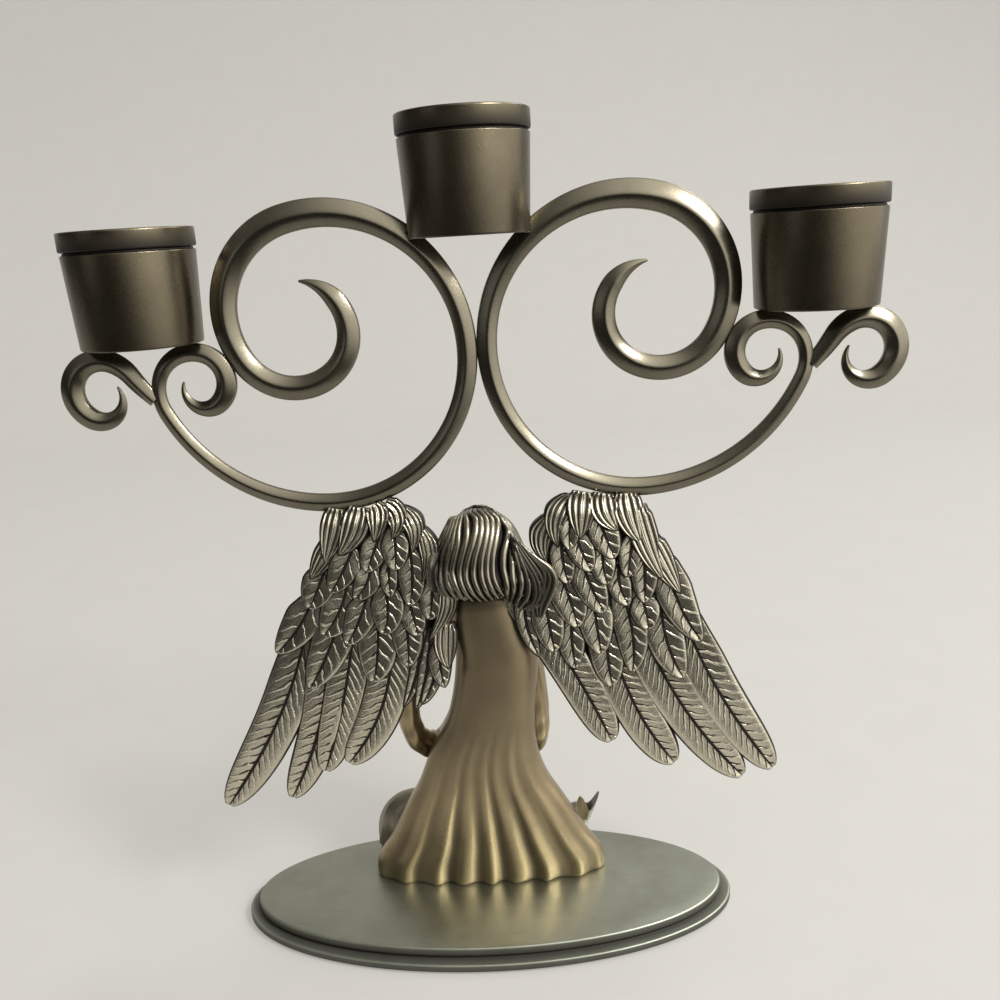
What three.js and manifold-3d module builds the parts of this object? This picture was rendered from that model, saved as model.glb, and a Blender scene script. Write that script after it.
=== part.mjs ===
// Angel candelabra: a robed figure on an oval base whose wings carry two scrolled arms and three tealight cups.
// Millimetres, +Z up. The figure faces -Y and its left hand side is +X. The origin is on the surface it stands on,
// under the middle of the three cups. The skirt and the base stand a little to the figure's left of that.
import * as THREE from 'three';
import { mergeVertices } from 'three/addons/utils/BufferGeometryUtils.js';
import Module from 'manifold-3d';

const wasm = await Module();
wasm.setup();

// Fits
const seatGap = 0.3;
const slideGap = 0.3;
const liftGap = 0.1;

// Tealight and cups
const candleRadius = 19;
const insertWall = 0.6;
const insertDepth = 15.9;
const insertFloor = 0.9;
const ringRadius = 22;
const ringHeight = 6.4;
const grooveHeight = 0.8;
const grooveDepth = 0.9;
const cupBodyHeight = 31.1;
const cupTopRadius = 21.7;
const cupBottomRadius = 20.2;
const cupWall = 1.8;
const cupFloor = 3;
const cupEdge = 0.8;
const sideCupReach = 114.5;
const sideCupBase = 231.9;
const centreCupBase = 261.6;
const cupSides = 24;

// Where the pieces stand
const armPlane = 3;
const baseMiddle = 10;
const figureMiddle = 3;
const wingMiddle = 3.5;
const headMiddle = 4;

// Base
const feltThickness = 0.8;
const feltInset = 5;
const baseHalfLength = 97.5;
const baseHalfWidth = 41.3;
const flangeHeight = 3;
const stepWidth = 4;
const plateHeight = 4.1;
const baseEdge = 0.5;
const baseGroove = 0.6;
const baseSides = 48;

// Screws that hold the figure to the base
const screwSpacing = 36;
const screwY = -16;
const screwRadius = 2;
const screwHeadRadius = 4;
const screwHeadHeight = 2.2;
const screwGrip = 12;
const screwSides = 16;

// Robe
const robeWall = 2.2;
const robeTop = 133.7;
const hemHalfWidth = 47.5;
const waistHalfWidth = 15.8;
const neckHalfWidth = 12;
const robeHalfTurn = 100;
const robeFolds = 8;
const hemFold = 1.5;
const foldHeight = 75;
const gownClearance = 0.8;

// Scrolled arms, drawn as chains of tangent arcs from the inner tip outwards
const scrollDepthRatio = 0.8;
const scrollTip = [58.6, 250.2];
const scrollHeading = 186;
const curlRoot = [113.5, 212.6];
const curlHeading = 47.2;
const chordError = 0.24;

// Wings
const wingPlane = armPlane + 1.5;
const wingCore = 1.1;

// Hair and head
const hairHeight = 32.4;
const hairRoll = 19.3;
const hairStrands = 16;
const strandRelief = 0.5;

// Arms
const leftSleeveSpread = 36;
const rightSleeveSpread = 18;

// Pieces that stand beside the figure
const drapeX = 40;
const drapeInset = 18.3;
const drapeHalfWidth = 17.5;
const drapeHalfDepth = 10;
const lilyX = -31;
const lilyInset = 15.3;

// Heights and places that follow from the sizes above
const baseTop = feltThickness + flangeHeight + plateHeight;
const neckBase = robeTop + seatGap;
const drapeY = drapeInset - baseHalfWidth;
const lilyY = lilyInset - baseHalfWidth;
const rimHeight = cupBodyHeight + grooveHeight;

const finish = {
  pewter: { color: 0x8c877b, roughness: 0.38, metalness: 1 },
  plate: { color: 0x9a9c93, roughness: 0.32, metalness: 1 },
  dark: { color: 0x5f5a4c, roughness: 0.42, metalness: 1 },
  liner: { color: 0x77715f, roughness: 0.36, metalness: 1 },
  felt: { color: 0x24231f, roughness: 0.95, metalness: 0 },
  steel: { color: 0xa5a6a8, roughness: 0.4, metalness: 1 },
};

const candelabra = new THREE.Group();

// Solids and meshes
function solidOf(geometry) {
  const bare = geometry.index ? geometry.clone() : geometry;
  bare.deleteAttribute('normal');
  bare.deleteAttribute('uv');
  const merged = mergeVertices(bare, 1e-5);
  return new wasm.Manifold(new wasm.Mesh({
    numProp: 3,
    vertProperties: new Float32Array(merged.attributes.position.array),
    triVerts: new Uint32Array(merged.index.array),
  }));
}

function geometryOf(solid) {
  const mesh = solid.getMesh();
  const geometry = new THREE.BufferGeometry();
  geometry.setAttribute('position', new THREE.BufferAttribute(mesh.vertProperties, 3));
  geometry.setIndex(new THREE.BufferAttribute(mesh.triVerts, 1));
  return geometry;
}

function addPiece(name, solid, look, place = [0, 0, 0]) {
  const mesh = new THREE.Mesh(geometryOf(solid), new THREE.MeshStandardMaterial(finish[look]));
  mesh.name = name;
  mesh.position.set(...place);
  candelabra.add(mesh);
}

function turnedOut(geometry) {
  const index = geometry.index.array;
  for (let i = 0; i < index.length; i += 3) {
    [index[i + 1], index[i + 2]] = [index[i + 2], index[i + 1]];
  }
  return geometry;
}

function mirrored(solid) {
  return solidOf(turnedOut(geometryOf(solid).scale(-1, 1, 1)));
}

function moved(solid, x, y, z) {
  return solidOf(geometryOf(solid).translate(x, y, z));
}

// A closed skin over rings of points, each ring in order round the piece, with a flat cap on both ends
function loft(rings) {
  const count = rings[0].length;
  const positions = rings.flat().flatMap((point) => [point.x, point.y, point.z]);
  const index = [];
  for (let r = 0; r + 1 < rings.length; r += 1) {
    for (let i = 0; i < count; i += 1) {
      const next = (i + 1) % count;
      const a = r * count + i;
      const b = r * count + next;
      const c = (r + 1) * count + next;
      const d = (r + 1) * count + i;
      index.push(a, b, c, a, c, d);
    }
  }
  const capTriangles = (ring) => {
    const normal = new THREE.Vector3();
    ring.forEach((point, i) => normal.add(point.clone().cross(ring[(i + 1) % count])));
    normal.normalize();
    const helper = Math.abs(normal.z) < 0.9 ? new THREE.Vector3(0, 0, 1) : new THREE.Vector3(1, 0, 0);
    const across = helper.cross(normal).normalize();
    const along = normal.clone().cross(across);
    const flat = ring.map((point) => new THREE.Vector2(point.dot(across), point.dot(along)));
    return THREE.ShapeUtils.triangulateShape(flat, []);
  };
  const last = (rings.length - 1) * count;
  capTriangles(rings[0]).forEach(([a, b, c]) => index.push(a, c, b));
  capTriangles(rings[rings.length - 1]).forEach(([a, b, c]) => index.push(last + a, last + b, last + c));
  const geometry = new THREE.BufferGeometry();
  geometry.setAttribute('position', new THREE.Float32BufferAttribute(positions, 3));
  geometry.setIndex(index);
  const solid = solidOf(geometry);
  return solid.volume() > 0 ? solid : solidOf(turnedOut(geometry));
}

function lathe(profile, sides) {
  const points = profile.map(([radius, height]) => new THREE.Vector2(radius, height));
  return solidOf(new THREE.LatheGeometry(points, sides).rotateX(Math.PI / 2));
}

const radians = THREE.MathUtils.degToRad;
const lerp = THREE.MathUtils.lerp;

// A smooth value between stations, each station a pair of place and value
function between(stations, place) {
  const last = stations.length - 1;
  if (place <= stations[0][0]) return stations[0][1];
  if (place >= stations[last][0]) return stations[last][1];
  const i = stations.findIndex((station) => station[0] > place) - 1;
  const share = (place - stations[i][0]) / (stations[i + 1][0] - stations[i][0]);
  const before = stations[Math.max(i - 1, 0)];
  const after = stations[Math.min(i + 2, last)];
  const slope = (a, b) => (b[1] - a[1]) / (b[0] - a[0]);
  const span = stations[i + 1][0] - stations[i][0];
  const m0 = slope(before, stations[i + 1]) * span;
  const m1 = slope(stations[i], after) * span;
  const s2 = share * share;
  const s3 = s2 * share;
  return (2 * s3 - 3 * s2 + 1) * stations[i][1] + (s3 - 2 * s2 + share) * m0
    + (3 * s2 - 2 * s3) * stations[i + 1][1] + (s3 - s2) * m1;
}

// Base: two elliptical steps with a groove between them, on a felt pad
function ellipseRing(halfLength, halfWidth, height, sides) {
  return Array.from({ length: sides }, (_, i) => {
    const turn = (i / sides) * 2 * Math.PI;
    return new THREE.Vector3(halfLength * Math.cos(turn), halfWidth * Math.sin(turn), height);
  });
}

function movedRing(ring, x, y) {
  return ring.map((point) => new THREE.Vector3(point.x + x, point.y + y, point.z));
}

function screwHoles() {
  const shank = lathe([[0, feltThickness - 1], [screwRadius + slideGap, feltThickness - 1],
    [screwRadius + slideGap, baseTop + screwGrip + 1], [0, baseTop + screwGrip + 1]], screwSides);
  const head = lathe([[0, feltThickness - 1], [screwHeadRadius + slideGap, feltThickness - 1],
    [screwHeadRadius + slideGap, feltThickness + screwHeadHeight + 2 * slideGap],
    [0, feltThickness + screwHeadHeight + 2 * slideGap]], screwSides);
  const hole = shank.add(head);
  return [-1, 1].map((side) => moved(hole, baseMiddle + side * screwSpacing / 2, screwY, 0));
}

function basePlate() {
  const steps = [
    [0, 0, feltThickness],
    [0, 0, feltThickness + flangeHeight - baseEdge],
    [0, baseEdge, feltThickness + flangeHeight],
    [stepWidth, baseGroove, feltThickness + flangeHeight],
    [stepWidth, baseGroove, feltThickness + flangeHeight + baseGroove],
    [stepWidth, 0, feltThickness + flangeHeight + 2 * baseGroove],
    [stepWidth, 0, baseTop - baseEdge],
    [stepWidth, baseEdge, baseTop],
  ];
  const rings = steps.map(([step, edge, height]) => {
    const inset = step + edge;
    return movedRing(ellipseRing(baseHalfLength - inset, baseHalfWidth - inset, height, baseSides), baseMiddle, 0);
  });
  return screwHoles().reduce((plate, hole) => plate.subtract(hole), loft(rings));
}

function feltPad() {
  const ring = (height) => ellipseRing(baseHalfLength - feltInset, baseHalfWidth - feltInset, height, baseSides);
  return loft([ring(0), ring(feltThickness)]);
}

function baseScrew() {
  const headBottom = feltThickness + slideGap;
  const headTop = headBottom + screwHeadHeight;
  return lathe([[0, headBottom], [screwHeadRadius, headBottom], [screwHeadRadius, headTop],
    [screwRadius, headTop], [screwRadius, baseTop + screwGrip], [0, baseTop + screwGrip]], screwSides);
}

// Robe: a mantle open to the front, falling from the shoulders to a wavy hem
const robeHalfWidths = [
  [baseTop, hemHalfWidth], [15, 46.5], [25, 40.2], [34, 35.6], [42, 31.3], [52, 25.8], [66, 21],
  [82, 17], [107, waistHalfWidth], [122, 14.8], [robeTop, neckHalfWidth],
];
const robeCentres = [
  [baseTop, baseMiddle - 1], [55, baseMiddle - 1], [66, 8], [82, 4], [107, 0.5], [122, 2.5], [robeTop, 3.5],
];
const robeBacks = [[baseTop, 1], [60, 3.4], [100, 6], [robeTop, 7]];
const robeMiddles = [[baseTop, -11], [60, -8], [robeTop, -6]];
const robeLevels = [baseTop, 14, 21, 30, 42, 56, 74, 95, 115, robeTop];

const robeSquareness = 0.8;

function signedPower(value, power) {
  return Math.sign(value) * Math.abs(value) ** power;
}

function foldFade(height) {
  return Math.max(0, 1 - (height - baseTop) / foldHeight);
}

// The folds are spaced evenly across the back. Where pleated is false, the point clears their valleys.
function robePoint(turn, height, inset, pleated) {
  const middle = between(robeMiddles, height);
  const width = between(robeHalfWidths, height) - inset;
  const depth = between(robeBacks, height) - middle - inset;
  const across = signedPower(Math.sin(turn), robeSquareness);
  const wave = pleated ? Math.cos(Math.PI * robeFolds * across) : -1;
  const fold = hemFold * foldFade(height) * wave;
  const y = middle + (depth + fold) * signedPower(Math.cos(turn), robeSquareness);
  return new THREE.Vector3(between(robeCentres, height) + width * across, y, height);
}

function mantle(grow = 0) {
  const steps = 4 * robeFolds;
  const limit = radians(robeHalfTurn) + grow / 20;
  const across = Array.from({ length: steps + 1 }, (_, i) => 1 - (2 * i) / steps);
  const turns = [limit, ...across.map((place) => Math.asin(signedPower(place, 1 / robeSquareness))), -limit];
  const levels = robeLevels.map((level, i) => level + (i === robeLevels.length - 1 ? grow : 0));
  return loft(levels.map((height) => {
    const outside = turns.map((turn) => robePoint(turn, height, -grow, true));
    const inside = turns.map((turn) => robePoint(turn, height, robeWall + grow, false)).reverse();
    return [...outside, ...inside];
  }));
}

// Gown: the body of the figure, which fills the mantle and closes it towards the front
const gownFronts = [[baseTop, -33], [25, -31], [50, -27], [82, -23], [105, -22], [120, -21], [robeTop, -14]];
const gownTop = robeTop - 1;
const gownPleats = 11;

function gown(grow = 0) {
  const sides = 28;
  const levels = [...robeLevels.slice(0, -1), gownTop + grow];
  const rings = levels.map((height) => Array.from({ length: sides }, (_, i) => {
    const turn = (-i / sides) * 2 * Math.PI;
    const inset = robeWall + gownClearance - grow;
    const point = robePoint(turn, height, inset, false);
    const middle = between(robeMiddles, height);
    if (point.y < middle) {
      const front = between(gownFronts, height) - grow;
      const reach = (middle - front) * Math.abs(Math.cos(turn)) ** 0.9;
      const pleat = hemFold * foldFade(height) * Math.cos(gownPleats * turn) * Math.abs(Math.cos(turn));
      point.y = middle - reach + pleat;
    }
    return point;
  }));
  return loft(rings);
}

// Tube with oval sections along a smooth route, for arms and locks of hair
function ovalTube(route, sizes, steps, sides, grow = 0) {
  const curve = new THREE.CatmullRomCurve3(route.map((point) => new THREE.Vector3(...point)));
  const reach = curve.getPoint(1).sub(curve.getPoint(0));
  const upright = Math.abs(reach.z) > Math.hypot(reach.x, reach.y);
  const reference = upright ? new THREE.Vector3(0, 1, 0) : new THREE.Vector3(0, 0, 1);
  const rings = Array.from({ length: steps + 1 }, (_, i) => {
    const share = i / steps;
    const centre = curve.getPoint(share);
    const tangent = curve.getTangent(share);
    const side = reference.clone().cross(tangent).normalize();
    const lift = tangent.clone().cross(side).normalize();
    const wide = between(sizes.map(([place, width]) => [place, width]), share) + grow;
    const tall = between(sizes.map(([place, , height]) => [place, height]), share) + grow;
    return Array.from({ length: sides }, (_, k) => {
      const turn = (k / sides) * 2 * Math.PI;
      return centre.clone().addScaledVector(side, wide * Math.cos(turn)).addScaledVector(lift, tall * Math.sin(turn));
    });
  });
  return loft(rings);
}

// Sleeves: from the shoulder to the elbow, held off the side, and forward and up to the wrist. Their heights, like
// those of the hands, the head and the hair, are measured from the foot of the neck.
function sleeve(spread) {
  const route = [
    [12, -11, -10], [spread * 0.84, -12, -30], [spread - 1, -14, -54], [spread * 0.88, -19, -71],
    [spread * 0.58, -28, -74], [6.2, -32.5, -43],
  ].map(([x, y, height]) => [x, y, neckBase + height]);
  const sizes = [[0, 5, 6], [0.2, 4.4, 5], [0.4, 4.4, 5], [0.6, 4.6, 6], [0.8, 5, 7.5], [1, 5, 8]];
  return ovalTube(route, sizes, 11, 10);
}

function hands(grow = 0) {
  const route = [[-33, -43], [-36.4, -37], [-37, -30], [-35, -22]]
    .map(([y, height]) => [figureMiddle, y, neckBase + height]);
  const sizes = [[0, 5, 3.6], [0.4, 5.6, 4], [0.8, 3.6, 3], [1, 1.2, 1]];
  return ovalTube(route, sizes, 6, 10, grow);
}

// Head and neck, with a nose, under a cap of waving hair
const headY = -4;

function head(grow = 0) {
  const profile = [
    [0, 6.2, 6.2], [4, 6, 6], [6, 6.6, 9.4], [8.5, 8.6, 11.6], [12, 10.6, 12.2], [16.5, 11.6, 12.2],
    [20.5, 11.6, 12], [24.5, 10.2, 10.8], [28, 6.8, 7.6], [29.6, 2.6, 3],
  ];
  const sides = 18;
  const last = profile.length - 1;
  const skull = loft(profile.map(([height, wide, deep], i) => {
    const push = i === 0 ? 0 : (i === last ? grow : 0);
    return movedRing(ellipseRing(wide + grow, deep + grow, neckBase + height + push, sides), headMiddle, headY);
  }));
  if (grow > 0) return skull;
  const nose = new THREE.SphereGeometry(1.7, 8, 5).scale(0.9, 1, 1.9);
  nose.translate(headMiddle, headY - 11.9, neckBase + 14.6);
  return skull.add(solidOf(nose));
}

const hairSections = [
  [0, 13.5, 11, -1], [2.5, 18, 14.4, -1], [7, hairRoll, 16, -1], [12, 17.6, 15, -1.5],
  [17.5, 15.9, 14.4, -2], [23.5, 13.4, 13, -2.5], [28.4, 9.8, 10, -3], [31.3, 5.4, 5.6, -3], [hairHeight, 1.6, 1.6, -3],
];

function hair(grow = 0) {
  const sides = hairStrands * 2;
  const last = hairSections.length - 1;
  const cap = loft(hairSections.map(([height, wide, deep, middle], i) => {
    const push = i === 0 ? -grow : (i === last ? grow : 0);
    return Array.from({ length: sides }, (_, k) => {
      const turn = (k / sides) * 2 * Math.PI;
      const relief = (k % 2 ? -strandRelief : 0) * Math.min(1, wide / 12);
      return new THREE.Vector3(
        headMiddle + (wide + relief + grow) * Math.cos(turn),
        middle + (deep + relief + grow) * Math.sin(turn),
        neckBase + height + push,
      );
    });
  }));
  const lockRoute = [[-11, 9, 7], [-19, 10, 5.5], [-20.5, 9.6, -1], [-16, 8.6, -9]]
    .map(([x, y, height]) => [x, y, neckBase + height]);
  const lock = ovalTube(lockRoute, [[0, 4, 4], [0.4, 3.6, 3.6], [0.8, 2.4, 2.2], [1, 0.6, 0.6]], 8, 10, grow);
  return cap.add(lock);
}

// Everything in front of the face is open, so the hair stops in a slanting line from crown to chin
function faceOpening() {
  const slab = new THREE.BoxGeometry(60, 30, 60).rotateX(radians(-14)).translate(0, headY - 19.6, neckBase + 16);
  return solidOf(slab);
}

// Chain of tangent arcs in the XZ plane, each a radius and a turn in degrees, left turns positive
function arcChain([startX, startZ], startHeading, arcs) {
  let x = startX;
  let z = startZ;
  let heading = radians(startHeading);
  const stops = [{ x, z, heading, place: 0 }];
  arcs.forEach(([radius, degrees], index) => {
    const sign = Math.sign(degrees);
    const step = 2 * Math.acos(1 - chordError / radius);
    const count = Math.ceil(Math.abs(radians(degrees)) / step);
    const centreX = x - sign * radius * Math.sin(heading);
    const centreZ = z + sign * radius * Math.cos(heading);
    const start = heading;
    for (let i = 1; i <= count; i += 1) {
      heading = start + (radians(degrees) * i) / count;
      x = centreX + sign * radius * Math.sin(heading);
      z = centreZ - sign * radius * Math.cos(heading);
      stops.push({ x, z, heading, place: index + i / count });
    }
  });
  return stops;
}

// Bar with a raised ridge on both faces, its width given at the joints between the arcs
function ridgedBar(stops, widths, grow = 0) {
  const section = [[1, 0.34], [0.1, 1], [-1, 0.34], [-1, -0.34], [0.1, -1], [1, -0.34]];
  return loft(stops.map(({ x, z, heading, place }) => {
    const half = between(widths.map((width, joint) => [joint, width / 2]), place);
    return section.map(([across, deep]) => {
      const offset = across * half + Math.sign(across) * grow;
      const depth = armPlane + deep * half * scrollDepthRatio + Math.sign(deep) * grow;
      return new THREE.Vector3(x - offset * Math.sin(heading), depth, z + offset * Math.cos(heading));
    });
  }));
}

const scrollArcs = [
  [16.6, 46.3], [18.1, 93], [20.7, 92.9], [31, 106.7], [46.6, 91.2], [51.6, 105.8],
  [61.3, 63], [16.1, 39.8], [13.2, 89.9], [10.2, 125.7], [7.2, 150.6],
];
const scrollWidths = [0.8, 7, 8.4, 8.8, 9.8, 7.2, 6.6, 5.4, 5, 6.6, 6.8, 0.8];
const curlArcs = [[79.5, 8.3], [14.8, -27.9], [10.9, -176], [7.8, -153.4]];
const curlWidths = [2.4, 4.6, 7.8, 8, 0.8];

// The two arms meet on a flat in the middle plane
function otherHalf() {
  const size = 200;
  return solidOf(new THREE.BoxGeometry(size, size, 2 * size).translate((seatGap - size) / 2, 0, size));
}

function scroll(grow = 0) {
  return ridgedBar(arcChain(scrollTip, scrollHeading, scrollArcs), scrollWidths, grow);
}

function curl() {
  return ridgedBar(arcChain(curlRoot, curlHeading, curlArcs), curlWidths);
}

// Cups: a tapered shell with a necked rim, and a drop-in liner whose ring closes the neck to a dark groove
function cupShell() {
  const linerOuter = candleRadius + slideGap + insertWall;
  const bore = linerOuter + slideGap;
  const ledge = rimHeight + liftGap + ringHeight - insertDepth - insertFloor - 1;
  return lathe([
    [0, 0], [cupBottomRadius - cupEdge, 0], [cupBottomRadius, cupEdge], [cupTopRadius, cupBodyHeight],
    [cupTopRadius - grooveDepth, cupBodyHeight], [cupTopRadius - grooveDepth, rimHeight], [bore, rimHeight],
    [bore, ledge], [cupBottomRadius - cupWall, ledge], [cupBottomRadius - cupWall, cupFloor], [0, cupFloor],
  ], cupSides);
}

function cupSpace() {
  return lathe([[0, -seatGap], [cupBottomRadius + seatGap, -seatGap],
    [cupTopRadius + seatGap, cupBodyHeight], [0, cupBodyHeight]], cupSides);
}

function cupLiner() {
  const bore = candleRadius + slideGap;
  const outer = bore + insertWall;
  const seat = rimHeight + liftGap;
  const top = seat + ringHeight;
  const floor = top - insertDepth;
  return lathe([
    [0, floor - insertFloor], [outer, floor - insertFloor], [outer, seat], [ringRadius, seat],
    [ringRadius, top - cupEdge], [ringRadius - cupEdge, top], [bore, top], [bore, floor], [0, floor],
  ], cupSides);
}

// Feather: a leaf with a raised quill on both faces, from a root point to a tip point
function feather([rootX, rootZ], [tipX, tipZ], width, thickness, bend) {
  const long = Math.hypot(tipX - rootX, tipZ - rootZ) > 45;
  const root = new THREE.Vector2(rootX, rootZ);
  const tip = new THREE.Vector2(tipX, tipZ);
  const along = tip.clone().sub(root);
  const across = new THREE.Vector2(-along.y, along.x).normalize();
  const shape = long ? [[0, 0.5], [0.5, 1], [0.84, 0.74], [1, 0.1]] : [[0, 0.6], [0.62, 1], [1, 0.12]];
  return loft(shape.map(([share, fullness]) => {
    const spine = root.clone().addScaledVector(along, share).addScaledVector(across, bend * 4 * share * (1 - share));
    const half = (width / 2) * fullness;
    const edge = thickness - 0.8;
    const section = [[-half, edge], [0, thickness], [half, edge], [half, -edge], [0, -thickness], [-half, -edge]];
    return section.map(([offset, deep]) => {
      const place = spine.clone().addScaledVector(across, offset);
      return new THREE.Vector3(place.x, deep + wingPlane, place.y);
    });
  }));
}

// Flight feathers, whose tips differ between the two wings, with places measured from the middle of the pair
const flightFeathers = {
  left: [[15, 104], [28.5, 89], [42, 77.5], [54.5, 67.5], [65.5, 64.3], [81, 53.5], [105, 50.4]],
  right: [[17, 111], [30, 92], [45, 72.5], [58, 67.5], [71, 62], [95.5, 55.2], [107.6, 58.4]],
};
const flightRoots = [[20, 140], [30, 140], [40, 140], [50, 138], [59, 135], [68, 132], [74, 128]];
const flightWidth = 15.5;
const flightThickness = 1.8;
const flightBend = 3;

// Rows of covert feathers from the flight feathers up to the shoulder
const covertRows = [
  {
    tips: [[20, 108], [32, 100], [45, 92], [58, 88], [71, 88], [84, 90]],
    roots: [[24, 142], [33, 138], [43, 132], [53, 126], [62, 124], [70, 124]],
    width: 14.5,
    thickness: 2.1,
    bend: 2,
  },
  {
    tips: [[18.5, 121], [32, 111], [46, 104], [61, 103], [75, 108]],
    roots: [[23, 150], [33, 143], [44, 137], [54, 134], [63, 136]],
    width: 15.5,
    thickness: 2.4,
    bend: 1.5,
  },
  {
    tips: [[18.5, 137], [31, 127], [44.5, 120], [58, 119.5], [70, 125]],
    roots: [[25, 160], [34, 154], [43, 149], [52, 147], [60, 149]],
    width: 14.5,
    thickness: 2.7,
    bend: 1,
  },
  {
    tips: [[23, 148], [36.5, 139], [50.5, 135], [62.5, 140]],
    roots: [[29, 168], [38, 163], [48, 159], [56, 160]],
    width: 14,
    thickness: 2.9,
    bend: 1,
  },
];
const tufts = [[24.5, 153], [35, 149], [46.5, 148], [57, 152]];
const wingCoreOutline = [
  [33, 170], [50, 168], [57, 158], [66, 140], [76, 120], [84, 96], [70, 82], [52, 84], [34, 96], [20, 110],
  [15.5, 126], [18, 148], [24, 162],
];

function wing(side) {
  const flat = wingCoreOutline.map(([x, z]) => new THREE.Vector2(x, z));
  const ring = (y) => flat.map((point) => new THREE.Vector3(point.x, y, point.y)).reverse();
  let body = loft([ring(wingPlane + wingCore), ring(wingPlane - wingCore)]);
  flightFeathers[side].forEach((tip, i) => {
    body = body.add(feather(flightRoots[i], tip, flightWidth, flightThickness, flightBend));
  });
  covertRows.forEach(({ tips, roots, width, thickness, bend }) => {
    tips.forEach((tip, i) => {
      body = body.add(feather(roots[i], tip, width, thickness, bend));
    });
  });
  tufts.forEach((tip, i) => {
    const root = [lerp(32, 51, i / (tufts.length - 1)), 171 - Math.abs(i - 1.5)];
    body = body.add(feather(root, tip, 10.5, 3.2, 0));
  });
  return body;
}

// Folded drape beside the figure's left knee, and the lily standing at its right, both on the base
function largest(solid) {
  return solid.decompose().reduce((best, part) => (part.volume() > best.volume() ? part : best));
}

function drape() {
  const levels = [[baseTop, 0.8], [12, 0.95], [18, 1], [25, 0.94], [31, 0.76], [35, 0.5], [37.5, 0.16]];
  return loft(levels.map(([height, share]) => (
    ellipseRing(drapeHalfWidth * share, drapeHalfDepth * share, height, 20)
      .map((point) => point.add(new THREE.Vector3(drapeX, drapeY, 0)))
  )));
}

function lily() {
  const stem = ovalTube([[lilyX, lilyY, baseTop], [lilyX, lilyY, 12], [lilyX, lilyY, 16], [lilyX, lilyY, 21]],
    [[0, 4, 4], [0.3, 1.8, 1.8], [0.6, 1.8, 1.8], [1, 4, 3.4]], 5, 8);
  const petals = [-1, 1].map((side) => ovalTube(
    [[lilyX, lilyY, 18], [lilyX + side * 3.4, lilyY, 21.5], [lilyX + side * 5, lilyY, 26], [lilyX + side * 5.4, lilyY, 31]],
    [[0, 2, 2.6], [0.45, 1.6, 3], [0.8, 1.2, 1.9], [1, 0.3, 0.3]],
    4,
    6,
  ));
  return petals.reduce((flower, petal) => flower.add(petal), stem);
}

// Assembly
addPiece('base_plate', basePlate(), 'plate');
addPiece('base_felt', feltPad(), 'felt', [baseMiddle, 0, 0]);
addPiece('left_base_screw', baseScrew(), 'steel', [baseMiddle + screwSpacing / 2, screwY, 0]);
addPiece('right_base_screw', baseScrew(), 'steel', [baseMiddle - screwSpacing / 2, screwY, 0]);

const body = gown(seatGap);
const cloak = mantle(seatGap);
const locks = hair(seatGap);
const palms = hands(seatGap);
addPiece('mantle', mantle(), 'pewter');
addPiece('gown', screwHoles().reduce((solid, hole) => solid.subtract(hole), gown()), 'pewter');
const leftSleeve = moved(sleeve(leftSleeveSpread), figureMiddle, 0, 0);
const rightSleeve = moved(mirrored(sleeve(rightSleeveSpread)), figureMiddle, 0, 0);
addPiece('left_sleeve', leftSleeve.subtract(body).subtract(cloak).subtract(palms), 'pewter');
addPiece('right_sleeve', rightSleeve.subtract(body).subtract(cloak).subtract(palms), 'pewter');
addPiece('hands', hands(), 'pewter');
addPiece('head', head(), 'pewter');
addPiece('hair', hair().subtract(head(seatGap)).subtract(faceOpening()), 'dark');
addPiece('knee_drape', largest(drape().subtract(body).subtract(cloak)), 'pewter');
addPiece('lily', lily().subtract(body).subtract(cloak), 'pewter');

const centreSpace = moved(cupSpace(), 0, armPlane, centreCupBase);
const sideSpace = moved(cupSpace(), sideCupReach, armPlane, sideCupBase);
const arm = scroll().subtract(otherHalf()).subtract(centreSpace).subtract(sideSpace);
const outerCurl = curl().subtract(scroll(seatGap)).subtract(sideSpace);
const armSpace = scroll(seatGap);
const seated = (piece) => [body, cloak, locks].reduce((solid, space) => solid.subtract(space), piece);
const leftWing = seated(moved(wing('left'), wingMiddle, 0, 0).subtract(armSpace));
const rightWing = seated(moved(mirrored(wing('right')), wingMiddle, 0, 0).subtract(mirrored(armSpace)));
addPiece('left_scroll', arm, 'pewter');
addPiece('right_scroll', mirrored(arm), 'pewter');
addPiece('left_side_curl', outerCurl, 'pewter');
addPiece('right_side_curl', mirrored(outerCurl), 'pewter');
addPiece('left_wing', leftWing, 'dark');
addPiece('right_wing', rightWing, 'dark');

const cups = [['centre', 0, centreCupBase], ['left', sideCupReach, sideCupBase], ['right', -sideCupReach, sideCupBase]];
cups.forEach(([name, x, z]) => {
  addPiece(`${name}_cup`, cupShell(), 'liner', [x, armPlane, z]);
  addPiece(`${name}_insert`, cupLiner(), 'liner', [x, armPlane, z]);
});

export default candelabra;
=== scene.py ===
import math

import bmesh
import bpy
import numpy as np
from mathutils import Matrix, Vector, kdtree


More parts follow.
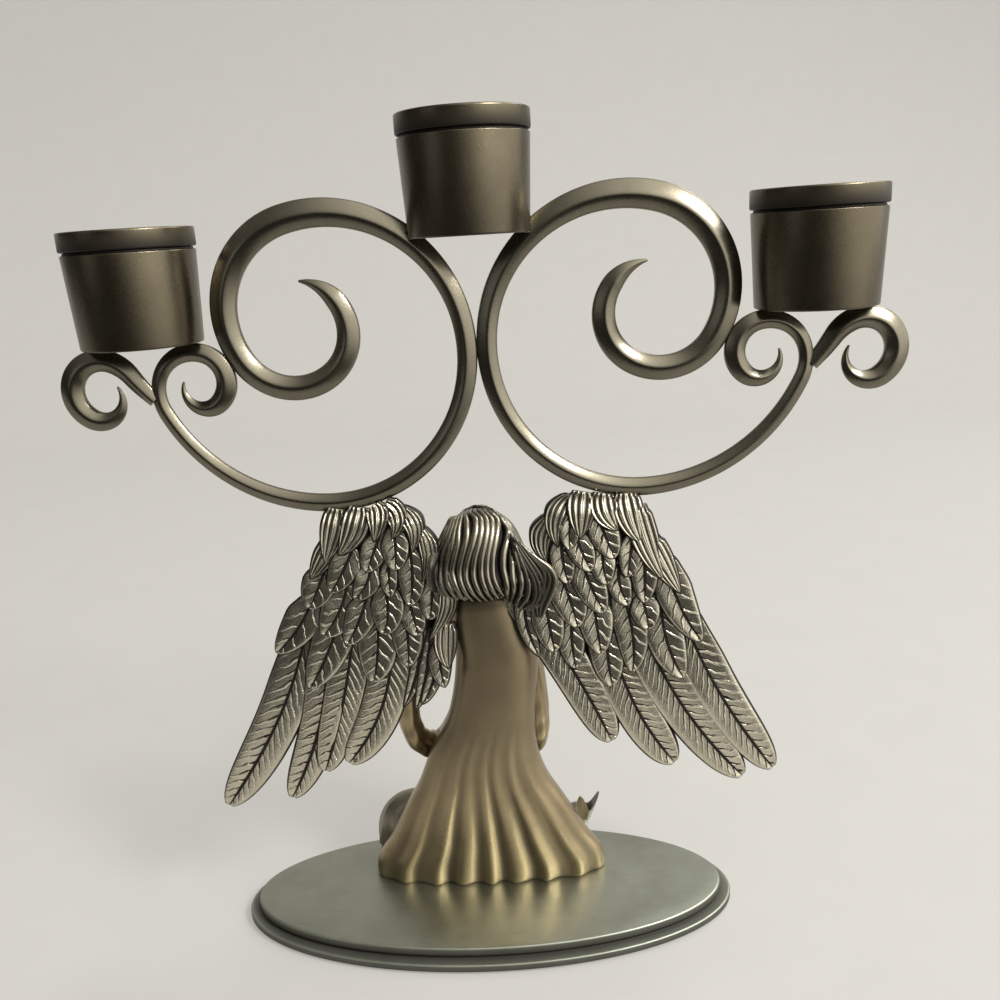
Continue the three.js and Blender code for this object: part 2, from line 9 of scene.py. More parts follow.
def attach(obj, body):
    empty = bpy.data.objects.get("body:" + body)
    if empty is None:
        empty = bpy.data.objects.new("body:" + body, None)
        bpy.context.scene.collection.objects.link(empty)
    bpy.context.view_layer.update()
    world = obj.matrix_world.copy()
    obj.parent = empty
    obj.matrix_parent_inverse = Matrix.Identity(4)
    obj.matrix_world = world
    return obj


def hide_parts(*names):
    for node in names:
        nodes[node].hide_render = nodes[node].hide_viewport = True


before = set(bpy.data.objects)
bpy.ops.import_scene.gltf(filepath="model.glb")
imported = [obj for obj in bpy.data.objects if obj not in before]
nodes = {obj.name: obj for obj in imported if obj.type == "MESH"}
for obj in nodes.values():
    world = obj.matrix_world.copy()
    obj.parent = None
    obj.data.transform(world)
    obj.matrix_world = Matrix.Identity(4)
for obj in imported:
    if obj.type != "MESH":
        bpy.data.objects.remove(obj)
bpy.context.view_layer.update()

# Lengths on the object are in millimetres until they are multiplied by MM. The backdrop and lamps are in metres.
MM = 0.001
BASE_MIDDLE = 10.0
BASE_HALF_WIDTH = 97.5
BASE_HALF_DEPTH = 41.3
BASE_TOP = 7.9
ROBE_TOP = 133.7
BODY_MIDDLE = 3
HEAD_MIDDLE = 4.0
HEAD_BASE = ROBE_TOP + 0.3
HEAD_DEPTH = -4.0
WING_PLANE = 4.5
ARM_PLANE = 3.0
CUP_PLACES = {"centre": (0, ARM_PLANE, 261.6), "left": (114.5, ARM_PLANE, 231.9), "right": (-114.5, ARM_PLANE, 231.9)}


def operator(operation, reflected=False):
    """A sum of two values, either of which may be a plain number."""
    def applied(self, other):
        return self.board.maths(operation, *((other, self) if reflected else (self, other)))
    return applied


class Wire:
    """A socket that takes part in sums, so that node maths reads like ordinary maths."""

    def __init__(self, board, socket):
        self.board = board
        self.socket = socket

    __add__, __radd__ = operator("ADD"), operator("ADD", True)
    __sub__, __rsub__ = operator("SUBTRACT"), operator("SUBTRACT", True)
    __mul__, __rmul__ = operator("MULTIPLY"), operator("MULTIPLY", True)
    __truediv__, __pow__ = operator("DIVIDE"), operator("POWER")

    def size(self):
        return self.board.maths("ABSOLUTE", self)

    def part(self):
        return self.board.maths("FRACT", self)

    def clamped(self):
        return self.board.node("ShaderNodeClamp", {}, {0: self})


class Board:
    """A node tree, for a material or for geometry."""

    def __init__(self, tree):
        self.tree = tree

    def join(self, value, socket):
        if isinstance(value, Wire):
            self.tree.links.new(value.socket, socket)
        else:
            socket.default_value = value

    def node(self, kind, settings, inputs, output=0):
        made = self.tree.nodes.new(kind)
        for name, value in settings.items():
            setattr(made, name, value)
        for name, value in inputs.items():
            self.join(value, made.inputs[name])
        return Wire(self, made.outputs[output]) if len(made.outputs) else None

    def maths(self, operation, *values):
        return self.node("ShaderNodeMath", {"operation": operation}, dict(enumerate(values)))

    def greatest(self, first, second):
        return self.maths("MAXIMUM", first, second)

    def ramp(self, value, low, high):
        """0 at low and below, 1 at high and above, with soft ends."""
        settings = {"interpolation_type": "SMOOTHSTEP"}
        return self.node("ShaderNodeMapRange", settings, {0: value, 1: low, 2: high})

    def place(self):
        return self.node("ShaderNodeTexCoord", {}, {}, "Object")

    def noise(self, place, scale, detail, roughness=0.5):
        inputs = {"Vector": place, "Scale": scale, "Detail": detail, "Roughness": roughness}
        return self.node("ShaderNodeTexNoise", {}, inputs)

    def tint(self, share, first, second):
        """A colour that turns from the first to the second as share goes from 0 to 1."""
        first, second = (c if isinstance(c, Wire) else (*c, 1) for c in (first, second))
        return self.node("ShaderNodeMix", {"data_type": "RGBA"}, {0: share, 6: first, 7: second}, 2)

    def stored(self, name):
        """What the mesh holds for each point under this name."""
        return self.node("ShaderNodeAttribute", {"attribute_name": name}, {}, "Fac")

    def close(self, shader):
        self.node("ShaderNodeOutputMaterial", {}, {"Surface": shader})


def placed(name, data):
    made = bpy.data.objects.new(name, data)
    bpy.context.scene.collection.objects.link(made)
    return made


def new_material(name):
    material = bpy.data.materials.new(name)
    material.use_nodes = True
    material.node_tree.nodes.clear()
    return material, Board(material.node_tree)


# Camera, backdrop and light. The camera's yaw, pitch and roll are in degrees, its focal length in sensor widths.
CAMERA_TURNS = (-2.16, 15.78, 3.56)
CAMERA_PLACE = (-17.0, 330.6, 262.7)
SENSOR_WIDTH = 36
FOCAL_LENGTH = 0.9535
WINDOW_SIDE = (-0.80, 0.22, 0.56)
LAMPS = (
    ("key", (-0.9, 0.6, 1.0), 0.3, 15.0),
    ("fill", (1.1, 0.9, 0.5), 0.6, 0.5),
    ("front", (-0.9, -0.7, 1.2), 0.5, 7.0),
)
LAMP_TARGET = (0, 0, 0.15)


def make_camera():
    yaw, pitch, roll = (math.radians(angle) for angle in CAMERA_TURNS)
    level = math.cos(pitch)
    forward = Vector((-math.sin(yaw) * level, -math.cos(yaw) * level, -math.sin(pitch)))
    right = Vector((-math.cos(yaw), math.sin(yaw), 0))
    down = -right.cross(forward)
    across = right * math.cos(roll) + down * math.sin(roll)
    upward = right * math.sin(roll) - down * math.cos(roll)
    data = bpy.data.cameras.new("camera")
    data.sensor_width = SENSOR_WIDTH
    data.lens = SENSOR_WIDTH * FOCAL_LENGTH
    data.clip_start = 0.01
    camera = placed("camera", data)
    camera.rotation_mode = "QUATERNION"
    turn = np.array([across, upward, -forward]).T
    camera.rotation_quaternion = Matrix(turn.tolist()).to_quaternion()
    camera.location = Vector(CAMERA_PLACE) * MM
    bpy.context.scene.camera = camera


def make_backdrop():
    """A pale sheet that lies flat under the object and curves up behind it."""
    front, back, bend, top, half_width = 0.16, -0.9, 0.7, 3.0, 3
    curve = [(back - bend * math.sin(a), bend * (1 - math.cos(a))) for a in np.linspace(0, math.pi / 2, 24)]
    line = [(front, 0), (0.1, 0), *curve, (back - bend, top)]
    points = [(x, y, z) for y, z in line for x in (-half_width, half_width)]
    faces = [(2 * i, 2 * i + 1, 2 * i + 3, 2 * i + 2) for i in range(len(line) - 1)]
    mesh = bpy.data.meshes.new("backdrop")
    mesh.from_pydata(points, [], faces)
    mesh.shade_smooth()
    material, board = new_material("pale_sheet")
    colour = board.tint(board.noise(board.place(), 30, 6), (0.44, 0.43, 0.405), (0.49, 0.48, 0.455))
    paper = board.node("ShaderNodeBsdfPrincipled", {}, {"Base Color": colour, "Roughness": 0.8})
    pale = board.node("ShaderNodeEmission", {}, {"Color": (0.66, 0.64, 0.60, 1), "Strength": 1.0})
    straight, mirrored, through = (board.node("ShaderNodeLightPath", {}, {}, f"Is {ray} Ray")
                                   for ray in ("Camera", "Glossy", "Transmission"))
    seen = (straight + mirrored + through).clamped() * 0.5
    board.close(board.node("ShaderNodeMixShader", {}, {0: seen, 1: paper, 2: pale}))
    mesh.materials.append(material)
    placed("backdrop", mesh)


def make_light():
    """A soft world with a broad bright window at one side, and three lamps of a size in metres and a power."""
    bpy.context.scene.view_settings.view_transform = "Standard"
    world = bpy.data.worlds.new("studio")
    bpy.context.scene.world = world
    world.use_nodes = True
    world.node_tree.nodes.clear()
    board = Board(world.node_tree)
    way = board.node("ShaderNodeTexCoord", {}, {}, "Generated")
    window = board.node("ShaderNodeVectorMath", {"operation": "DOT_PRODUCT"}, {0: way, 1: WINDOW_SIDE}, 1)
    height = board.node("ShaderNodeSeparateXYZ", {}, {0: way}, 2)
    glow = board.ramp(window, 0.18, 0.95) * 2.1 + board.ramp(height, 0.2, 0.7) * 0.2 + 0.06
    shade = board.node("ShaderNodeBackground", {}, {"Color": (1.0, 0.97, 0.91, 1), "Strength": glow})
    board.node("ShaderNodeOutputWorld", {}, {"Surface": shade})
    for name, place, size, power in LAMPS:
        data = bpy.data.lights.new(name, "AREA")
        data.size = size
        data.energy = power
        lamp = placed(name, data)
        lamp.location = place
        lamp.rotation_mode = "QUATERNION"
        lamp.rotation_quaternion = (Vector(LAMP_TARGET) - Vector(place)).to_track_quat("-Z", "Y")


# Finishes
# Dark colour of patina in hollows, also used for painted shade
PATINA_AND_SHADE_COLOUR = (0.016, 0.013, 0.010)


def pewter(name, light, roughness, brush, relief, grain, depth, tilt=0.0):
    """Antiqued pewter. brush holds how finely the strokes repeat along X, Y and Z once tilted about Y, relief returns
    how dark a point is, by patina in its hollows and by painted shade, and how high it stands, and depth is the
    strength of the bumps."""
    material, board = new_material(name)
    place = board.place()
    tilted = board.node("ShaderNodeVectorRotate", {"rotation_type": "EULER_XYZ"},
                        {"Vector": place, "Rotation": (0, tilt, 0)})
    drawn_out = board.node("ShaderNodeVectorMath", {"operation": "MULTIPLY"}, {0: tilted, 1: brush})
    strokes = board.noise(drawn_out, 5, 4, 0.65)
    cloud = board.noise(place, 55, 4, 0.6)
    fine = board.noise(place, 900, 3)
    dark_share, ridge = relief(board)
    # The dark share is patina in hollows and, in places, painted shade
    patina_and_shade = dark_share.clamped()
    # ridge lightens the colour, a painted highlight on raised parts such as fold crests, cut lips and strand backs
    tone = (strokes - 0.5) * 0.9 + (cloud - 0.5) * 0.9 + (fine - 0.5) * grain + ridge * 0.35 + 0.35
    low, high = (tuple(min(1, c * scale) for c in light) for scale in (0.72, 1.28))
    colour = board.tint(patina_and_shade, board.tint(tone.clamped(), low, high), PATINA_AND_SHADE_COLOUR)
    rough = roughness + (strokes - 0.5) * 0.16 + (cloud - 0.5) * 0.12 + dark_share * 0.25
    height = strokes * 0.3 + fine * 0.12 + ridge * 1.5 - dark_share * 1.5
    bump = board.node("ShaderNodeBump", {}, {"Strength": depth, "Distance": 0.0003, "Height": height})
    board.close(board.node("ShaderNodeBsdfPrincipled", {}, {
        "Base Color": colour, "Metallic": 1 - patina_and_shade * 0.4, "Roughness": rough, "Normal": bump}))
    return material


def feather_relief(board):
    """Dark vein and cut barbs of a feather, patina in them, painted shade along its rim and painted highlights, from
    its own measures in millimetres.
    """
    aside, along, margin, tuft, spacing, skew = (
        board.stored(name) for name in ("across", "along", "margin", "tuft", "spacing", "skew"))
    across = aside.size()
    side = board.maths("SIGN", aside)
    edge = across / (across + margin + 0.01)
    wobble = board.noise(board.place(), 240, 1)
    # Each cut slants away from the vein, starts off the one across the vein and narrows on its way to the edge
    slant = 1.15 - side * skew
    phase = ((along + across * slant) / spacing + side * 0.22 + wobble * 0.7).part()
    from_cut = (0.5 - (phase - 0.5).size()) * spacing
    cut_half = (1 - edge * 1.2) * 0.62
    cut = board.ramp(cut_half - from_cut, 0.0, 0.2) * board.ramp(along, 1.0, 2.2)
    vein_half = board.maths("MINIMUM", along * 0.05, 0.5) + 0.2
    vein = board.ramp(vein_half - across, 0.0, 0.2)
    # A painted highlight brightens one lip of each cut
    lip_highlight = board.ramp(from_cut, 0.3, 0.75) * (1 - board.ramp(from_cut, 0.75, 1.5)) * board.ramp(phase, 0.45, 0.55)
    # A tuft has dark lines along it in place of barbs
    from_line = ((edge * 2.6 + 0.85).part() - 0.5).size()
    line = 1 - board.ramp(from_line, 0.08, 0.24)
    # Painted shade along the rim, for the shadow where a feather lies over the next
    rim = 1 - board.ramp(margin, 0.4, 0.9)
    dark_share = board.greatest(cut, vein) * (1 - tuft) + line * tuft
    # Painted highlights on the lips of the cuts and along a tuft's strands
    ridge = lip_highlight * 0.5 * (1 - edge) * (1 - tuft) + board.ramp(from_line, 0.2, 0.45) * tuft
    return board.greatest(dark_share, rim), (ridge + 0.5) * (1 - rim)


def strand_relief(board):
    """Hair has painted shade between its strands and a painted highlight along their backs."""
    rise = board.stored("rise")
    return 1 - board.ramp(rise, 0.6, 0.96), board.ramp(rise, 0.7, 1.0)


def plain_relief(board):
    recess = board.stored("recess")
    return recess, 1 - recess


# Of each finish: its lit colour, roughness, brushing, relief, grain, bumps and how far its strokes are tilted
PEWTERS = {
    "robe": ((0.325, 0.258, 0.158), 0.30, (60, 60, 1500), plain_relief, 0.1, 0.4),
    "bar": ((0.165, 0.15, 0.113), 0.26, (900, 300, 900), plain_relief, 0.16, 0.2),
    "wing": ((0.60, 0.56, 0.445), 0.20, (400, 400, 400), feather_relief, 0.6, 0.85),
    "hair": ((0.235, 0.216, 0.165), 0.26, (900, 900, 60), strand_relief, 0.2, 0.3),
    "cup": ((0.11, 0.094, 0.064), 0.28, (90, 90, 1500), plain_relief, 0.1, 0.45, 0.9),
    "base": ((0.32, 0.335, 0.28), 0.38, (14, 1800, 900), plain_relief, 0.08, 0.3),
    "figure": ((0.29, 0.26, 0.20), 0.38, (300, 300, 900), plain_relief, 0.15, 0.15),
    "petal": ((0.46, 0.44, 0.37), 0.36, (400, 400, 900), plain_relief, 0.15, 0.2),
}


def make_felt():
    material, board = new_material("black_felt")
    fibre = board.noise(board.place(), 1400, 4)
    colour = board.tint(fibre, (0.012, 0.012, 0.012), (0.05, 0.05, 0.05))
    bump = board.node("ShaderNodeBump", {}, {"Strength": 0.6, "Distance": 0.0002, "Height": fibre})
    board.close(board.node("ShaderNodeBsdfPrincipled", {}, {
        "Base Color": colour, "Roughness": 0.95, "Normal": bump}))
    return material


# Meshes
def full_turn(count):
    return np.linspace(0, 2 * math.pi, count, endpoint=False)


def points_at(x, y, z):
    return np.stack(np.broadcast_arrays(x, y, z), -1)


def store(mesh, key, values):
    layer = mesh.attributes.new(key, "FLOAT", "POINT")
    layer.data.foreach_set("value", np.asarray(values, np.float32).ravel())


def merged(meshes, whole):
    """Fills one mesh with all the others."""
    work = bmesh.new()
    for mesh in meshes:
        work.from_mesh(mesh)
    work.to_mesh(whole)
    work.free()
    return whole


def turn_out(mesh):
    """Merges points that meet and turns the faces outwards."""
    work = bmesh.new()
    work.from_mesh(mesh)
    bmesh.ops.remove_doubles(work, verts=work.verts, dist=1e-7)
    bmesh.ops.recalc_face_normals(work, faces=work.faces)
    work.to_mesh(mesh)
    work.free()
    mesh.shade_smooth()
    return mesh


def closed_faces(rows, columns):
    """Faces of a tube of rings, with a flat cap on both ends."""
    faces = []
    for first in range(0, (rows - 1) * columns, columns):
        for c in range(columns):
            n = (c + 1) % columns
            faces.append((first + c, first + n, first + columns + n, first + columns + c))
    return [*faces, tuple(range(columns)), tuple(range((rows - 1) * columns, rows * columns))]


def skin(name, rows, **attributes):
    """A closed skin over rings of points."""
    rows = np.asarray(rows, float)
    mesh = bpy.data.meshes.new(name)
    mesh.from_pydata((rows.reshape(-1, 3) * MM).tolist(), [], closed_faces(*rows.shape[:2]))
    for key, values in attributes.items():
        store(mesh, key, values)
    return mesh


def lathe(name, profile, sides, place):
    """Spins a profile of radius, height and darkness."""
    turns = full_turn(sides)
    x, y, base = place
    rows = [points_at(x + r * np.cos(turns), y + r * np.sin(turns), base + z) for r, z, _ in profile]
    return turn_out(skin(name, rows, recess=np.repeat([shade for _, _, shade in profile], sides)))


def apply_modifiers(made):
    evaluated = made.evaluated_get(bpy.context.evaluated_depsgraph_get())
    mesh = bpy.data.meshes.new_from_object(evaluated)
    mesh.name = made.name
    bpy.data.objects.remove(made)
    return mesh


def new_tree(name, inputs, output):
    """A geometry tree: its board, the wires from its inputs, and the identifiers of all but the first."""
    tree = bpy.data.node_groups.new(name, "GeometryNodeTree")
    sockets = [tree.interface.new_socket(key, in_out="INPUT", socket_type=f"NodeSocket{kind}") for key, kind in inputs]
    tree.interface.new_socket(output, in_out="OUTPUT", socket_type="NodeSocketGeometry")
    board = Board(tree)
    wires = [board.node("NodeGroupInput", {}, {}, i) for i in range(len(inputs))]
    return board, wires, [socket.identifier for socket in sockets[1:]]


def run_tree(mesh, tree, values):
    """Applies a geometry tree to a mesh and returns a plain mesh."""
    board, sockets = tree
    made = placed(mesh.name, mesh)
    modifier = made.modifiers.new("tree", "NODES")
    modifier.node_group = board.tree
    for socket, value in zip(sockets, values):
        modifier[socket] = value
    return apply_modifiers(made)


def show(mesh, finish, stands_for, body="candelabra"):
    made = placed(mesh.name, mesh)
    mesh.materials.clear()
    mesh.materials.append(finish)
    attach(made, body)
    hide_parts(stands_for)


def show_skin(name, rows, recess, finish, stands_for):
    """Shows a closed skin over rings of points, recess being how dark each point is."""
    show(turn_out(skin(name, rows, recess=np.array(recess))), finish, stands_for)


def smooth_between(stations, place):
    """The same smooth value between stations as the source uses."""
    stations = np.asarray(stations, float)
    x = np.clip(place, stations[0, 0], stations[-1, 0])
    i = np.clip(np.searchsorted(stations[:, 0], x, side="right") - 1, 0, len(stations) - 2)
    before = np.maximum(i - 1, 0)
    after = np.minimum(i + 2, len(stations) - 1)
    span = stations[i + 1, 0] - stations[i, 0]
    share = (x - stations[i, 0]) / span
    m0 = (stations[i + 1, 1] - stations[before, 1]) / (stations[i + 1, 0] - stations[before, 0]) * span
    m1 = (stations[after, 1] - stations[i, 1]) / (stations[after, 0] - stations[i, 0]) * span
    s2, s3 = share**2, share**3
    return ((2 * s3 - 3 * s2 + 1) * stations[i, 1] + (s3 - 2 * s2 + share) * m0
            + (3 * s2 - 2 * s3) * stations[i + 1, 1] + (s3 - s2) * m1)


# Robe: half widths, middles across, backs, middles in depth and fronts, each by height
HALF_WIDTHS = [(7.9, 47.5), (15, 46.5), (25, 40.2), (34, 35.6), (42, 31.3), (52, 25.8), (66, 21),
               (82, 17), (107, 15.8), (122, 14.8), (133.7, 12)]
CENTRES = [(7.9, 9), (55, 9), (66, 8), (82, 4), (107, 0.5), (122, 2.5), (133.7, 3.5)]
BACKS = [(7.9, 1), (60, 3.4), (100, 6), (133.7, 7)]
MIDDLES = [(7.9, -11), (60, -8), (133.7, -6)]
FRONTS = [(7.9, -33), (25, -31), (50, -27), (82, -23), (105, -22), (120, -21), (133.7, -14)]
WALL = 2.2
FOLD = 1.5


def folds(lateral, height):
    """Eight folds across the hem, which fade out towards the waist and wander a little on the way."""
    fade = np.clip(1 - (height - BASE_TOP) / 72, 0, 1) ** 1.1
    wander = 0.5 * np.sin(height / 15) + 0.5 * np.sin(lateral * 5)
    return fade * (1.15 * np.cos(8 * math.pi * lateral + wander) + 0.25 * np.cos(13 * math.pi * lateral + 1))


def squared_off(value):
    """Fills a round outline out towards its corners."""
    return np.sign(value) * np.abs(value) ** 0.8


def robe_point(turn, height, inset):
    middle = smooth_between(MIDDLES, height)
    width = smooth_between(HALF_WIDTHS, height) - inset
    depth = smooth_between(BACKS, height) - middle - inset
    lateral = squared_off(np.sin(turn))
    x = smooth_between(CENTRES, height) + width * lateral
    push = folds(lateral, height) * np.clip(np.abs(np.cos(turn)) * 2.5, 0, 1)
    y = middle + (depth + push) * squared_off(np.cos(turn))
    return points_at(x, y, height)


def make_mantle(finish):
    """The robe's shell, round at the hem and the top, with painted shadow under the hair, painted shade on its lining,
    valleys darkened between the folds and a painted highlight on their crests near the hem.
    """
    columns = 181
    turns = np.linspace(math.radians(100), -math.radians(100), columns)
    lateral = squared_off(np.sin(turns))
    heights = np.concatenate([[BASE_TOP, 8.3, 8.9], np.linspace(10, ROBE_TOP - 1, 84), [ROBE_TOP - 0.3, ROBE_TOP]])
    rows, recess = [], []
    for height in heights:
        lip = 0.5 * max(0, 1 - (height - BASE_TOP)) + 0.8 * max(0, 1 - (ROBE_TOP - height))
        lining = robe_point(turns, height, WALL + FOLD)[::-1]
        rows.append(np.concatenate([robe_point(turns, height, lip), lining]))
        # Painted shadow under the hair
        under_hair = 0.75 * np.clip((height - 124) / 9, 0, 1)
        crests = 0.5 + 0.5 * folds(lateral, height)
        # Near the hem the fold valleys are darkened and the crests lightened past plain, a painted highlight
        shade = np.maximum(under_hair, 0.34 + (0.2 - 1.1 * crests) * np.clip((80 - height) / 55, 0, 1))
        # The lining inside the shell is painted in shade
        recess.append(np.concatenate([shade, np.full(columns, 0.8)]))
    show_skin("mantle_shell", rows, recess, finish, "mantle")


def make_gown(finish):
    """The figure within the mantle, pleated at the front."""
    turns = -full_turn(220)
    rows, recess = [], []
    for height in np.linspace(BASE_TOP, ROBE_TOP - 1, 70):
        points = robe_point(turns, height, WALL + 2 * FOLD)
        middle = smooth_between(MIDDLES, height)
        front = points[:, 1] < middle
        reach = (middle - smooth_between(FRONTS, height)) * np.abs(np.cos(turns)) ** 0.9
        fade = max(0, 1 - (height - BASE_TOP) / 95)
        pleat = 1.7 * fade * np.cos(15 * turns + 0.3 * math.sin(height / 14)) * np.abs(np.cos(turns))
        points[front, 1] = (middle - reach + pleat)[front]
        rows.append(points)
        recess.append(np.clip(0.5 * pleat, 0, 1) * front)
    show_skin("gown_folds", rows, recess, finish, "gown")


# Scrolled bars. Each starts at a place and a heading and runs through arcs, each a radius and the degrees that it
# turns. Its widths are at the arcs' ends.
SCROLL_START = ((58.6, 250.2), 186)
SCROLL_ARCS = [(16.6, 46.3), (18.1, 93), (20.7, 92.9), (31, 106.7), (46.6, 91.2), (51.6, 105.8),
               (61.3, 63), (16.1, 39.8), (13.2, 89.9), (10.2, 125.7), (7.2, 150.6)]
SCROLL_WIDTHS = [0.8, 7, 8.4, 8.8, 9.8, 7.2, 6.6, 5.4, 5, 6.6, 6.8, 0.8]
CURL_START = ((113.5, 212.6), 47.2)
CURL_ARCS = [(79.5, 8.3), (14.8, -27.9), (10.9, -176), (7.8, -153.4)]
CURL_WIDTHS = [5, 6.8, 7.6, 7.6, 0.8]


def arc_chain(start, heading, arcs, step=0.6):
    x, z = start
    heading = math.radians(heading)
    stops = [(x, z, 0.0)]
    for index, (radius, degrees) in enumerate(arcs):
        sign = math.copysign(1, degrees)
        count = math.ceil(radius * abs(math.radians(degrees)) / step)
        centre = (x - sign * radius * math.sin(heading), z + sign * radius * math.cos(heading))
        first = heading
        for i in range(1, count + 1):
            heading = first + math.radians(degrees) * i / count
            x = centre[0] + sign * radius * math.sin(heading)
            z = centre[1] - sign * radius * math.cos(heading)
            stops.append((x, z, index + i / count))
    return np.array(stops)


def bar_section():
    """The outline of a bar with a half width of 1 and a raised ridge on both faces, its corners eased."""
    corners = np.array([[1, 0.27], [0.1, 0.86], [-1, 0.27], [-1, -0.27], [0.1, -0.86], [1, -0.27]], float)
    for share in (0.14, 0.25, 0.25):
        following = np.roll(corners, -1, 0)
        eased = [corners * (1 - share) + following * share, corners * share + following * (1 - share)]
        corners = np.stack(eased, 1).reshape(-1, 2)
    return corners


def bar_tree():
    """Sweeps a section along a piece's own lines, whose points hold their half width."""
    inputs = (("Line", "Geometry"), ("Section", "Object"), ("Finish", "Material"))
    board, (line, outline, metal), sockets = new_tree("swept_bar", inputs, "Bar")
    half = board.node("GeometryNodeInputNamedAttribute", {"data_type": "FLOAT"}, {"Name": "half"})
    path = board.node("GeometryNodeMeshToCurve", {}, {0: line})
    loop = board.node("GeometryNodeObjectInfo", {}, {"Object": outline}, "Geometry")
    loop = board.node("GeometryNodeMeshToCurve", {}, {0: loop})
    inputs = {"Curve": path, "Profile Curve": loop, "Scale": half, "Fill Caps": True}
    swept = board.node("GeometryNodeCurveToMesh", {}, inputs)
    swept = board.node("GeometryNodeRealizeInstances", {}, {0: swept})
    swept = board.node("GeometryNodeSetMaterial", {}, {"Geometry": swept, "Material": metal})
    board.node("NodeGroupOutput", {}, {0: swept})
    return board, sockets


def outline_object(name, points):
    mesh = bpy.data.meshes.new(name)
    mesh.from_pydata(np.array(points, float).tolist(), [(i, (i + 1) % len(points)) for i in range(len(points))], [])
    return placed(name, mesh)


def sweep(name, tree, paths, halves, section, finish):
    """Sweeps the section along one or more open lines and returns a plain mesh."""
    edges = []
    first = 0
    for path in paths:
        edges += [(i, i + 1) for i in range(first, first + len(path) - 1)]
        first += len(path)
    mesh = bpy.data.meshes.new(name)
    mesh.from_pydata((np.concatenate(paths) * MM).tolist(), edges, [])
    store(mesh, "half", np.concatenate(halves) * MM)
    return run_tree(mesh, tree, (section, finish))


def cut_by(mesh, tools):
    """Takes the tools' solids away from a mesh."""
    made = placed(mesh.name, mesh)
    for tool in tools:
        modifier = made.modifiers.new("cut", "BOOLEAN")
        modifier.operation = "DIFFERENCE"
        modifier.solver = "EXACT"
        modifier.object = tool
    return apply_modifiers(made)


def make_bars(tree, finish):
    """Both scrolls and side curls, cut where a cup stands on them."""
    section = outline_object("bar_section", [(y, x, 0) for x, y in bar_section()])
    cups = [placed("cup_space", lathe("cup_space", CUP_SPACE, 96, place)) for place in CUP_PLACES.values()]
    bars = (("scroll", SCROLL_START, SCROLL_ARCS, SCROLL_WIDTHS), ("side_curl", CURL_START, CURL_ARCS, CURL_WIDTHS))
    for name, start, arcs, widths in bars:
        stops = arc_chain(*start, arcs)
        half = smooth_between(list(enumerate(widths)), stops[:, 2]) / 2
        for side, sign in (("left", 1), ("right", -1)):
            path = points_at(sign * stops[:, 0], ARM_PLANE, stops[:, 1])
            mesh = turn_out(sweep(f"{side}_{name}_bar", tree, [path], [half], section, finish))
            show(turn_out(cut_by(mesh, cups)), finish, f"{side}_{name}")
    for tool in [section, *cups]:
        bpy.data.objects.remove(tool)


# Cups, the space that one takes from the bars, and lift-out liners, as profiles of radius, height and darkness
# The darkness is painted shade inside the cup and liner, in the gap under the liner's flange and at the cup's foot
CUP_PROFILE = [(0, 0, 0.3), (20.2, 0, 0.1), (21.7, 31.1, 0.0), (20.8, 31.1, 1), (20.8, 31.9, 1), (20.2, 31.9, 1),
               (20.2, 21.5, 1), (18.4, 21.5, 1), (18.4, 3, 1), (0, 3, 1)]
CUP_SPACE = [(0, -0.05, 0), (20.2, -0.05, 0), (21.7, 31, 0), (0, 31, 0)]
LINER_PROFILE = [(0, 21.6, 1), (19.9, 21.6, 1), (19.9, 32.0, 1), (22, 32.0, 0.9), (22, 38.4, 0.0), (19.3, 38.4, 0.1),
                 (19.3, 22.5, 0.6), (0, 22.5, 0.5)]
CORNER_RADIUS = 0.7


def eased(corners):
    """A profile whose corners are rounded, with the darkness of each corner kept."""
    out = [corners[0]]
    for before, here, after in zip(corners, corners[1:], corners[2:]):
        p0, p1, p2 = (np.array(p[:2], float) for p in (before, here, after))
        reach = min(CORNER_RADIUS, np.linalg.norm(p0 - p1) * 0.45, np.linalg.norm(p2 - p1) * 0.45)
        start = p1 + (p0 - p1) / np.linalg.norm(p0 - p1) * reach
        end = p1 + (p2 - p1) / np.linalg.norm(p2 - p1) * reach
        for s in (0, 0.25, 0.5, 0.75, 1):
            point = start * (1 - s) ** 2 + p1 * 2 * s * (1 - s) + end * s**2
            out.append((*point, here[2]))
    out.append(corners[-1])
    return out


def make_cups(finish):
    for side, place in CUP_PLACES.items():
        shell = lathe(f"{side}_cup_shell", eased(CUP_PROFILE), 144, place)
        show(shell, finish, f"{side}_cup")
        liner = lathe(f"{side}_insert_liner", eased(LINER_PROFILE), 144, place)
        show(liner, finish, f"{side}_insert", f"{side}_candle_insert")


# Base, as steps of inset, darkness and height. In depth no inset goes past BASE_SLIT.
# The darkness is painted shade on the side faces and in the groove under the top plate, partly patina in the groove
BASE_STEPS = [(60, 0.8, 0.8), (0.5, 0.8, 0.8), (0, 0.75, 1.3), (0, 0.7, 3.2), (0.2, 0.1, 3.65), (0.6, 0.1, 3.8),
              (1.4, 0.5, 3.8), (3.6, 0.75, 3.8), (4.5, 1, 3.9), (4.6, 1, 4.4), (4.1, 0.85, 4.9), (4.0, 0.75, 5.2),
              (4.0, 0.7, 7.2), (4.15, 0.25, 7.6), (4.45, 0, 7.82), (4.9, 0, 7.9),
              (12, 0, 7.9), (25, 0, 7.9), (40, 0, 7.9)]
BASE_SLIT = 40


def make_base(finish):
    turns = full_turn(220)
    rows, recess = [], []
    for inset, shade, height in BASE_STEPS:
        x = BASE_MIDDLE + (BASE_HALF_WIDTH - inset) * np.cos(turns)
        y = (BASE_HALF_DEPTH - min(inset, BASE_SLIT)) * np.sin(turns)
        rows.append(points_at(x, y, height))
        recess.append(np.full(len(turns), shade))
    show_skin("base_steps", rows, recess, finish, "base_plate")


